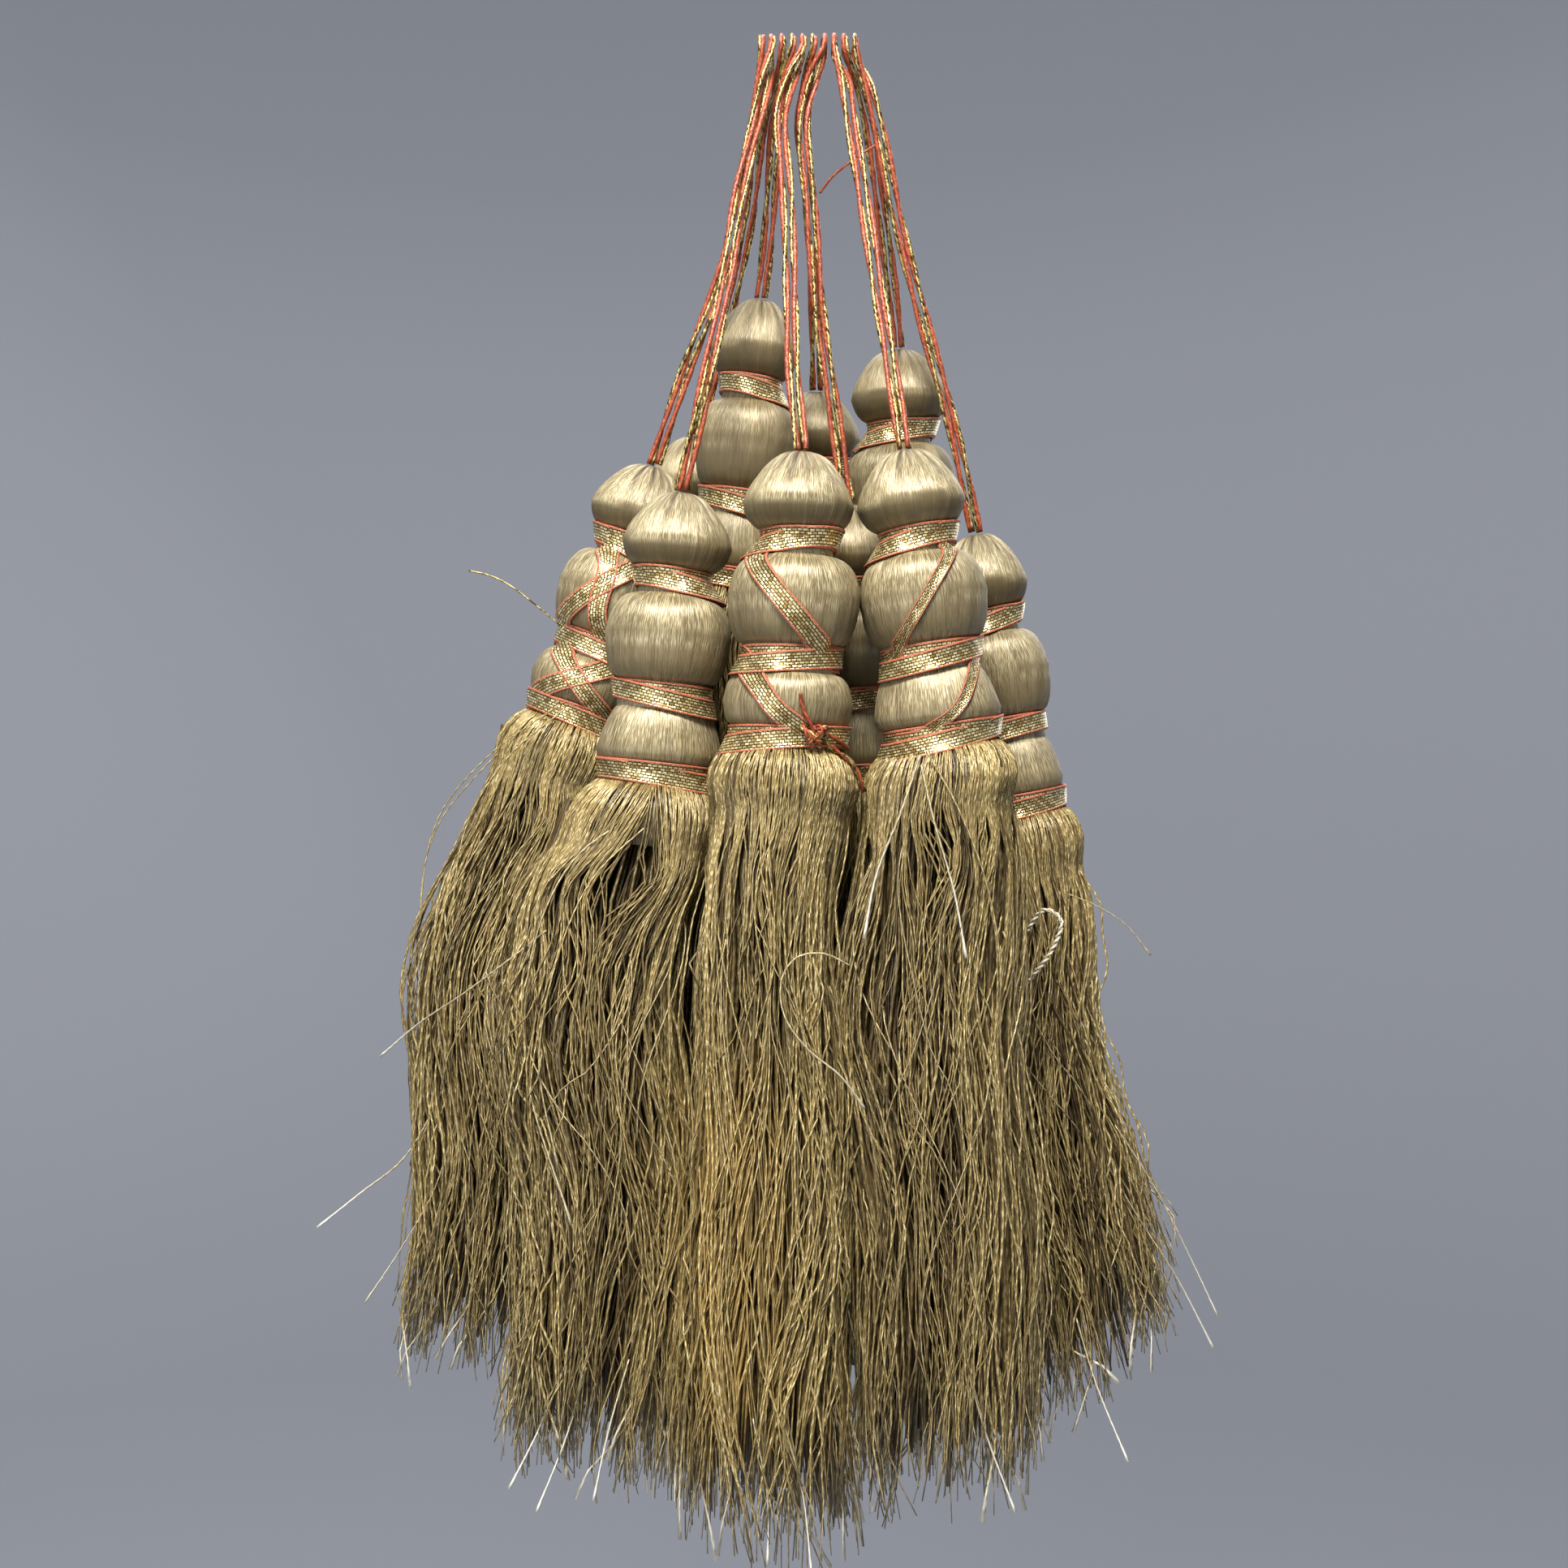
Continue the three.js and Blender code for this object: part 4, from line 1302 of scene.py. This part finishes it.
@dataclass
class Binding:
    """The ribbon of one tassel, wound round its three necks and carried over its bulbs."""

    tassel: Tassel
    finish: bpy.types.Material
    head: HeadShape = field(init=False)
    rng: np.random.Generator = field(init=False)

    def __post_init__(self) -> None:
        """Finds the head's form and starts the random draws."""
        self.head = HeadShape(self.tassel)
        self.rng = np.random.default_rng(300 + self.tassel.order)

    def build(self) -> bpy.types.Object:
        """Makes the ribbon."""
        draft = Draft()
        for row in CROSSINGS.get(self.tassel.name, PLAIN_CROSSINGS):
            self.add_crossing(draft, row)
        for index in range(3):
            self.add_turns(draft, index)
        ribbon = draft.piece(f"binding_{self.tassel.name}", [self.finish], "metallic_ribbon")
        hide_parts(f"ribbon_{self.tassel.name}")
        return ribbon

    def add_turns(self, draft: Draft, index: int) -> None:
        """Adds the two turns round one neck: a level one, and a slanting one over it.

        Args:
            draft: Where they are gathered.
            index: The neck, counted from the top.
        """
        start, end = self.head.necks[index]
        steps = 96 if self.tassel.near else 72
        share = np.linspace(0, 1, steps)
        turn = TURN / 2 + self.rng.uniform(-0.4, 0.4) + share * 2 * TURN
        second = ease(0.38, 0.62, share)
        rising = 0 if self.tassel.name in FALLING else TURN / 2
        tilt = 0.3 + 1.3 * second * self.rng.uniform(0.7, 1.2)
        middle = (start + end) / 2 - 0.6 + 1.1 * second
        depth = middle + tilt * np.sin(turn + rising + self.rng.uniform(-0.5, 0.5))
        self.add_run(draft, turn, depth, 0.4 + 0.8 * share, np.full(steps, RIBBON_WIDTH))

    def add_crossing(self, draft: Draft, row: Crossing) -> None:
        """Adds a run from one neck to the next.

        Args:
            draft: Where it is gathered.
            row: The bulb and the angles.
        """
        above, below = self.head.necks[row.bulb - 1], self.head.necks[row.bulb]
        side = math.copysign(1, row.end - row.start)
        top, foot = sum(above) / 2, sum(below) / 2
        stops = [
            (row.start - 50 * side, top - 0.4),
            (row.start - 18 * side, top),
            (row.start + 3 * side, top + 2.6),
            (row.end - 3 * side, foot - 2.6),
            (row.end + 18 * side, foot),
            (row.end + 50 * side, foot + 0.4),
        ]
        share = np.linspace(0, 1, 46)
        way = smooth_through([0, 0.13, 0.24, 0.76, 0.87, 1], stops, share)
        narrowed = ease(0.1, 0.3, share) * (1 - ease(0.7, 0.9, share))
        width = RIBBON_WIDTH + (row.width - RIBBON_WIDTH) * narrowed
        lift = 0.45 + 0.3 * np.sin(math.pi * share)
        self.add_run(draft, np.radians(way[:, 0]), way[:, 1], lift, width)

    def add_run(
        self, draft: Draft, turn: np.ndarray, depth: np.ndarray, lift: np.ndarray, width: np.ndarray
    ) -> None:
        """Adds a length of ribbon laid on the head.

        Args:
            draft: Where it is gathered.
            turn: The angle of its middle line at each step.
            depth: The depth of its middle line.
            lift: How far it stands off the threads.
            width: Its width.
        """
        radius = self.head.radius(depth)
        sideways = radius * np.gradient(turn)
        down = np.gradient(depth)
        size = np.hypot(sideways, down)
        sideways, down = sideways / size, down / size
        shares, bead = np.array(RIBBON_FACE, float).T
        offsets = shares[None, :] * width[:, None]
        depths = depth[:, None] + sideways[:, None] * offsets
        angles = turn[:, None] - down[:, None] * offsets / radius[:, None]
        bed = self.head.radius(depths)
        straight = 0.5 + offsets / width[:, None]
        bridge = bed[:, :1] * (1 - straight) + bed[:, -1:] * straight
        reach = np.maximum(bed, bridge) + lift[:, None] + bead[None, :]
        face = self.head.point(angles, depths, reach)
        back = self.head.point(angles[:, [6, 0]], depths[:, [6, 0]], reach[:, [6, 0]] - RIBBON_THICKNESS)
        rings = np.concatenate([face, back], axis=1)
        across = np.concatenate([shares + 0.5, [1, 0, 0]]) * RIBBON_WIDTH
        draft.add_rings(rings[None], across, lengths_along(face[None, :, 3]))


LEG_SPACING = 1.9
LEG_CROSSING = (0.9, 1.3)
CROWN_RADIUS = 3.0
CROWN_TURNS = (45, 90, 135)
CORD_END_GAP = 0.75
CORD_STEPS = 150
PATH_STEPS = 40
LOOP_PITCH = 42
PLY_SIDES = 7
TURNED_RIGHT = ("t10",)

# The middle line of each doubled cord, from the crown of its loop down towards the head.
ROUTES = {
    "t1": (
        (-8.4, 0, 0), (-9.8, -2.1, -7), (-11.4, -4.2, -15.6),
        (-15.3, -7.9, -33.2), (-19, -13.4, -58.7), (-23.4, -18.8, -83),
    ),
    "t2": (
        (-1.2, 0, 0), (-3.9, -2.9, -7), (-6.2, -5.7, -16.7),
        (-4.9, -11.8, -37.2), (-4.2, -18.7, -60.1), (-3.6, -25.1, -80.4),
    ),
    "t3": (
        (6, 0, 0), (8.2, -2.4, -7), (9.4, -4.9, -15.9),
        (12.3, -10.4, -36.9), (15.3, -16.4, -59.5), (17.9, -21.4, -77.8),
    ),
    "t4": (
        (10.8, 0, 0), (13.4, -0.3, -7), (16.4, 0.1, -18.3),
        (20.6, 1.5, -38), (26.4, 2.9, -60), (34.5, 4.5, -89),
    ),
    "t5": (
        (-10.8, 0, 0), (-10.8, -0.3, -7), (-11.8, -0.6, -15.2),
        (-15.6, 0, -33.6), (-20.4, 0.6, -53), (-28, 1.3, -72.5),
    ),
    "t6": (
        (-3.6, 0, 0), (-5.4, 2.1, -7), (-7.4, 4.1, -15),
        (-8.2, 6.4, -25), (-9, 8.5, -35), (-9.9, 10.4, -45),
    ),
    "t7": (
        (8.4, 0, 0), (11.9, 3, -7), (14.2, 5.8, -14.5),
        (16.2, 9.1, -25.5), (18.2, 12.7, -37.5), (20.2, 16.5, -50),
    ),
    "t8": (
        (1.2, 0, 0), (-0.4, 4.6, -7), (-1.4, 9.3, -14),
        (0.2, 16.8, -26), (1.5, 24.6, -40), (2.3, 32.6, -55),
    ),
    "t9": (
        (3.6, 0, 0), (1, -0.8, -7), (-1.1, -1.6, -17),
        (0.6, -2.2, -38), (2.6, -2.8, -62), (5.8, -3.3, -84),
    ),
    "t10": (
        (-6, 0, 0), (-8.3, 4.5, -7), (-11.2, 7.8, -15),
        (-14.1, 16.5, -34.4), (-18.3, 25, -50.8), (-22.5, 32, -65.5),
    ),
}


@dataclass(frozen=True)
class Ply:
    """One strand of a cord: how far it lies from the middle, its radius and which finish it takes."""

    offset: float
    radius: float
    finish: int


LOOP_PLIES = (Ply(-0.42, 0.48, 0), Ply(0.34, 0.58, 1))


def add_plies(
    draft: Draft,
    line: np.ndarray,
    plies: Sequence[Ply],
    pitch: float,
    start: float = 0.0,
    traits: dict[str, float] | None = None,
) -> None:
    """Adds a cord of plies that turn about its middle line.

    Args:
        draft: Where it is gathered.
        line: Its middle line.
        plies: Its strands.
        pitch: How far along the cord a ply takes to turn once.
        start: The angle that the plies start at.
        traits: Numbers that the finish reads, the same all along.
    """
    ahead = unit(np.gradient(line, axis=0))
    side = np.zeros_like(line)
    current = np.array([0.0, -1.0, 0.05])
    for k, direction in enumerate(ahead):
        current = current - direction * current.dot(direction)
        current = current / np.linalg.norm(current)
        side[k] = current
    walked = lengths_along(line)
    lay = walked / pitch * TURN + start
    flat = side * np.cos(lay)[:, None] + np.cross(ahead, side) * np.sin(lay)[:, None]
    for ply in plies:
        radii = np.full((1, len(line)), ply.radius)
        rings = tube_rings((line + ply.offset * flat)[None], radii, PLY_SIDES, flat[None])
        around = np.arange(PLY_SIDES + 1) * TURN * ply.radius / PLY_SIDES
        carried = {name: np.full((1, len(line)), value) for name, value in (traits or {}).items()}
        draft.add_rings(rings, around, walked[None], carried, ply.finish)


@dataclass
class HangingLoop:
    """The loop that one tassel hangs by: a gold ply and an orange one, slowly twisted together."""

    tassel: Tassel
    gold: bpy.types.Material
    orange: bpy.types.Material

    def middle_line(self, count: int) -> np.ndarray:
        """The way of the cord, up one leg, over the crown and down the other.

        Args:
            count: How many points there are.

        Returns:
            The points.
        """
        route = [np.array(p, float) for p in ROUTES[self.tassel.name]]
        top = np.array(self.tassel.top, float)
        route.append(top + CORD_END_GAP * unit(route[-1] - top))
        twist = 1 if self.tassel.name in TURNED_RIGHT else -1
        beside = np.array([twist * LEG_SPACING / 2, 0, 0])
        crossing = np.array([twist * LEG_CROSSING[0], -LEG_CROSSING[1], 0])
        offsets = [np.array([0, -CROWN_RADIUS, 0]), crossing] + [beside] * (len(route) - 2)
        front = [point + offset for point, offset in zip(route, offsets)]
        back = [point - offset for point, offset in zip(route, offsets)]
        angles = [math.radians(turn) for turn in CROWN_TURNS]
        crown = [route[0] + CROWN_RADIUS * np.array([0, -math.cos(a), math.sin(a)]) for a in angles]
        return smooth_path(front[::-1] + crown + back, count)

    def build(self) -> bpy.types.Object:
        """Makes the loop."""
        line = self.middle_line(CORD_STEPS)
        draft = Draft()
        add_plies(draft, line, LOOP_PLIES, LOOP_PITCH, self.tassel.order)
        cord = draft.piece(f"cord_{self.tassel.name}", [self.gold, self.orange], "loop_cord")
        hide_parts(f"loop_{self.tassel.name}")
        [tuple(point * MM) for point in self.middle_line(PATH_STEPS)]
        return cord


@dataclass(frozen=True)
class Stray:
    """A single thread that has come loose: its route, how bleached its end is and its radius."""

    route: tuple[tuple[float, float, float], ...]
    pale: float
    radius: float = 0.2


STRAYS = (
    Stray(((-56, -37, -201), (-65, -33, -208), (-76, -24, -216), (-88, -12, -224), (-99, -1, -233)), 0.9),
    Stray(((-82, -7, -236), (-87, -7, -247), (-93, -6, -256), (-103, -4, -264), (-113, -3, -272)), 0.9),
    Stray(((-80, -9, -246), (-85, -9, -262), (-93, -8, -276), (-101, -8, -288)), 0.5, 0.15),
    Stray(((67, -6, -255), (76, -4, -270), (85, -2, -284), (94, 0, -301)), 0.9),
    Stray(((70, -6, -248), (79, -6, -262), (87, -7, -278), (93, -8, -291)), 0.7, 0.15),
    Stray(((59, -9, -195), (66, -9, -198), (72, -8, -202), (78, -7, -209)), 0.1, 0.12),
    Stray(((60, -13, -290), (64, -17, -304), (70, -22, -319)), 0.9),
    Stray(((-50, -40, -288), (-56, -42, -303), (-63, -43, -317)), 1.0),
    Stray(((-47, -42, -292), (-51, -44, -306), (-57, -45, -321)), 1.0),
    Stray(((-38, -43, -290), (-42, -46, -304), (-45, -47, -318)), 0.9),
    Stray(((-6, -50, -300), (-2, -51, -314), (0, -52, -331)), 0.9),
    Stray(((-12, -50, -300), (-9, -51, -316), (-9, -52, -329)), 0.9),
    Stray(((32, -46, -290), (36, -47, -304), (42, -48, -320)), 0.9),
    Stray(
        ((22.7, -43.6, -164), (18.7, -44.6, -175.7), (13.6, -42, -189.3), (11.2, -40, -202.5)), 1.0, 0.26
    ),
    Stray(
        (
            (22.9, -43.8, -166), (25.4, -45.4, -177.4),
            (29.7, -45.2, -192.6), (32.2, -44.6, -206.1),
        ),
        0.8,
        0.24,
    ),
    Stray(
        ((24, -43.8, -163), (31, -44.6, -176), (37, -42, -192), (40, -39, -210), (38, -40, -240)), 0.1, 0.22
    ),
    Stray(
        (
            (8, -46.6, -207.5), (2.5, -48.4, -204.9), (-3, -49.2, -205.6), (-6.1, -49.4, -210),
            (-5.6, -49.8, -217.4), (-1, -50.4, -224), (6, -49.4, -230), (11, -46.6, -237),
        ),
        0.5,
    ),
    Stray(((-37, -34, -176), (-50, -38, -186), (-58, -40, -203), (-60, -39, -230), (-50, -43, -262)), 0.3),
    Stray(((-34, -35, -178), (-46, -39, -190), (-53, -41, -206), (-57, -41, -228), (-53, -42, -250)), 0.1),
    Stray(((-55, -12, -153), (-68, -11, -164), (-78, -8, -180), (-81, -8, -205), (-76, -10, -240)), 0.1),
    Stray(((-58, -10, -153), (-74, -4, -164), (-86, 1, -178), (-90, 2, -196), (-89, 2, -222)), 0.1, 0.15),
    Stray(((-57, -8, -152), (-75, 0, -166), (-87.5, 3, -182), (-91, 4, -205), (-89, 4, -232)), 0.1, 0.15),
)

# A thick end that has unravelled and curled up in front of the right skirt.
CURL = ((0.19, -36), (0.12, -14), (0.075, 2), (0.10, 16), (0.16, 6), (0.24, -22), (0.27, -30))


@dataclass
class StrayThreads:
    """Single silky threads that have come loose from the skirts, and one thick unravelled curl."""

    finish: bpy.types.Material

    def build(self) -> bpy.types.Object:
        """Makes the threads."""
        draft = Draft()
        for stray in STRAYS:
            self.add_stray(draft, stray)
        self.add_curl(draft)
        return draft.piece("stray_threads", [self.finish], "silk")

    def add_stray(self, draft: Draft, stray: Stray) -> None:
        """Adds a thread that is thicker and paler at its end."""
        path = smooth_path(stray.route, 8 * len(stray.route))
        left = lengths_along(path)[-1] - lengths_along(path)
        even = np.ones((1, len(path)))
        radii = stray.radius * even * (1 + 0.7 * (1 - ease(0, 6, left)))
        rings = tube_rings(path[None], radii, 4, np.array([0.2, -1.0, 0.1]))
        pale = stray.pale * even * (1 - 0.75 * ease(6, 26, left))
        traits = {"shade": 0.8 * even, "pale": pale, "warm": 0 * even}
        draft.add_rings(rings, np.arange(5.0) * 0.75, lengths_along(path)[None], traits)

    def add_curl(self, draft: Draft) -> None:
        """Adds the curl, twisted from two ends."""
        shape = SkirtShape(RIGHT_TASSEL)
        share, turn = np.array(CURL, float).T
        turn = np.radians(turn)
        curl = shape.place(share, 1.12 * np.sin(turn), -1.12 * np.cos(turn))
        curl[:, 1] -= np.array([0, 0.6, 1.6, 2.0, 1.4, 0.6, 0])
        plies = (Ply(-0.32, 0.36, 0), Ply(0.32, 0.36, 0))
        traits = {"shade": 0.9, "pale": 0.5, "warm": 0.0}
        add_plies(draft, smooth_path(curl, 70), plies, 3.6, traits=traits)


KNOT_RISING = ((24, 60.5, 2.2), (19, 58.2, 1.5), (13, 55.8, 1.0), (10, 53.4, 1.3), (9, 52.4, 1.6))
KNOT_FALLEN = ((26, 60.6, 2.2), (36, 62, 1.6), (50, 63.6, 1.5), (64, 66, 1.6), (74, 70, 1.8), (77, 72, 2.2))
KNOT_ALONG = ((27, 60.2, 2.4), (38, 60.4, 1.8), (52, 61.4, 1.6), (66, 62.4, 1.6), (80, 63, 1.6))


@dataclass
class Knot:
    """The knot that ends the ribbon of the middle tassel, with three loose ends."""

    tassel: Tassel
    gold: bpy.types.Material
    orange: bpy.types.Material
    shape: HeadShape = field(init=False)

    def __post_init__(self) -> None:
        """Finds the head's form."""
        self.shape = HeadShape(self.tassel)

    def on_head(self, stops: Sequence[tuple[float, float, float]], count: int) -> np.ndarray:
        """A path on the head.

        Args:
            stops: The angle in degrees, the depth and the distance off the surface of each point.
            count: How many points the path has.

        Returns:
            The points.
        """
        turn, depth, lift = np.array(stops, float).T
        points = self.shape.point(np.radians(turn), depth, self.shape.radius(depth) + lift)
        return smooth_path(points, count)

    def tangle(self) -> list[tuple[float, float, float]]:
        """The way of the yarns through the knot, as stops on the head."""
        way = np.linspace(0, TURN, 26)
        turn = 25 + 8.0 * np.sin(2 * way) + 4 * np.sin(way)
        depth = 60.7 + 1.7 * np.sin(3 * way + 0.6)
        return list(zip(turn, depth, 2.0 + 0.8 * np.cos(5 * way)))

    def build(self) -> bpy.types.Object:
        """Makes the knot."""
        draft = Draft()
        pair = (Ply(-0.3, 0.34, 0), Ply(0.3, 0.34, 1))
        single = (Ply(0.0, 0.42, 1),)
        add_plies(draft, self.on_head(self.tangle(), 90), pair, 9)
        add_plies(draft, self.on_head(KNOT_RISING, 24), single, 9)
        add_plies(draft, self.on_head(KNOT_FALLEN, 34), pair, 8)
        add_plies(draft, self.on_head(KNOT_ALONG, 30), single, 8)
        return draft.piece(f"knot_{self.tassel.name}", [self.gold, self.orange], "metallic_ribbon")


GLINT = ((-57, -4, -133.6), (-62, -5, -129.4), (-68, -5, -124.8), (-73, -4, -122.2), (-78, -4, -121))
YARN = ((2.6, -3.0, -34), (5.4, -5.2, -31), (9, -6.6, -28.4), (12.4, -6.6, -26), (15.2, -4.4, -23.6))


@dataclass
class OddEnds:
    """A glittering thread that sticks out from the left tassel, and a yarn between two of the loops."""

    gold: bpy.types.Material
    orange: bpy.types.Material

    def build(self) -> bpy.types.Object:
        """Makes both."""
        draft = Draft()
        add_plies(draft, smooth_path(GLINT, 40), (Ply(0.0, 0.2, 0),), 5)
        add_plies(draft, smooth_path(YARN, 40), (Ply(0.0, 0.3, 1),), 5)
        return draft.piece("odd_ends", [self.gold, self.orange], "metallic_ribbon")


@dataclass(frozen=True)
class Lamp:
    """One soft square light: where it stands and its side, both in metres, its power and its colour."""

    name: str
    place: tuple[float, float, float]
    size: float
    watts: float
    colour: tuple[float, float, float]


LAMPS = (
    Lamp("key", (-0.06, -0.50, 0.46), 0.24, 14.0, (1.0, 0.97, 0.93)),
    Lamp("fill", (-0.34, -0.72, -0.12), 0.6, 3.6, (0.94, 0.97, 1.0)),
    Lamp("back", (0.30, 0.75, 0.12), 0.8, 4.5, (1.0, 0.98, 0.95)),
    Lamp("top", (-0.05, 0.25, 0.62), 0.5, 5.0, (1.0, 0.99, 0.97)),
)
SKY = srgb(214, 222, 232)
SKY_STRENGTH = 0.38
CAMERA_PLACE = (-0.00565, -0.430, -0.170)
LENS = 42.6


@dataclass
class Studio:
    """The camera, the lights and the pale room round the bunch."""

    centre: tuple[float, float, float] = (0.0, 0.0, -0.17)

    def add_camera(self) -> None:
        """Sets the camera level with the middle of the bunch, in front of it."""
        data = bpy.data.cameras.new("camera")
        data.sensor_width = 36.0
        data.lens = LENS
        data.clip_start = 0.01
        camera = add_object("camera", data)
        camera.location = CAMERA_PLACE
        camera.rotation_euler = (math.pi / 2, 0, 0)
        bpy.context.scene.camera = camera

    def add_lamp(self, lamp: Lamp) -> None:
        """Adds a light that points at the bunch."""
        data = bpy.data.lights.new(lamp.name, "AREA")
        data.size = lamp.size
        data.energy = lamp.watts
        data.color = lamp.colour
        light = add_object(lamp.name, data)
        light.location = lamp.place
        aim = Vector(self.centre) - Vector(lamp.place)
        light.rotation_euler = aim.to_track_quat("-Z", "Y").to_euler()

    def add_lights(self) -> None:
        """Lights the bunch from above and the front, with a weak fill and two soft lights behind."""
        for lamp in LAMPS:
            self.add_lamp(lamp)
        world = bpy.data.worlds.new("studio_air")
        world.use_nodes = True
        background = world.node_tree.nodes["Background"]
        background.inputs["Color"].default_value = SKY
        background.inputs["Strength"].default_value = SKY_STRENGTH
        bpy.context.scene.world = world

    def add_room(self) -> None:
        """Adds a pale floor that curves up into a wall all round."""
        floor, cove, wall, height = -0.95, 0.3, 1.15, 1.0
        bend = np.linspace(-math.pi / 2, 0, 12)
        outline = [(0.001, floor), (0.4, floor)]
        outline += [(wall - cove + cove * math.cos(a), floor + cove + cove * math.sin(a)) for a in bend]
        outline += [(wall, height)]
        sides = 96
        angles = [i * TURN / sides for i in range(sides)]
        points = [(r * math.cos(a), r * math.sin(a), z) for r, z in outline for a in angles]
        faces = [
            (low + i, low + (i + 1) % sides, low + sides + (i + 1) % sides, low + sides + i)
            for low in range(0, sides * (len(outline) - 1), sides)
            for i in range(sides)
        ]
        mesh = bpy.data.meshes.new("studio_room")
        mesh.from_pydata(points, [], faces)
        mesh.shade_smooth()
        mesh.materials.append(StudioPaint().make())
        add_object("studio_room", mesh)


def report(piece: bpy.types.Object) -> None:
    """Logs one finished piece."""
    log.info("%s: %d faces", piece.name, len(piece.data.polygons))


def main() -> None:
    """Builds the bunch and the studio round it."""
    logging.basicConfig(level=logging.INFO, format="%(message)s")
    studio = Studio()
    studio.add_camera()
    gold = CordPly("cord_gold", 0.8, srgb(74, 56, 27), srgb(228, 202, 130)).make()
    orange = CordPly("cord_orange", 0.0, srgb(118, 50, 28), srgb(178, 84, 48)).make()
    for tassel in TASSELS:
        report(HangingLoop(tassel, gold, orange).build())
    head_silk = HeadSilk().make()
    skirt_silk = SkirtSilk().make()
    woven = WovenRibbon(RIBBON_WIDTH, RIBBON_EDGE).make()
    for tassel in TASSELS:
        report(TasselHead(tassel, head_silk).build())
        report(Binding(tassel, woven).build())
        report(TasselSkirt(tassel, skirt_silk).build())
    report(StrayThreads(skirt_silk).build())
    report(Knot(MIDDLE_TASSEL, gold, orange).build())
    report(OddEnds(gold, orange).build())
    studio.add_lights()
    studio.add_room()
    bpy.context.scene.view_settings.view_transform = "Standard"


if __name__ == "__main__":
    main()
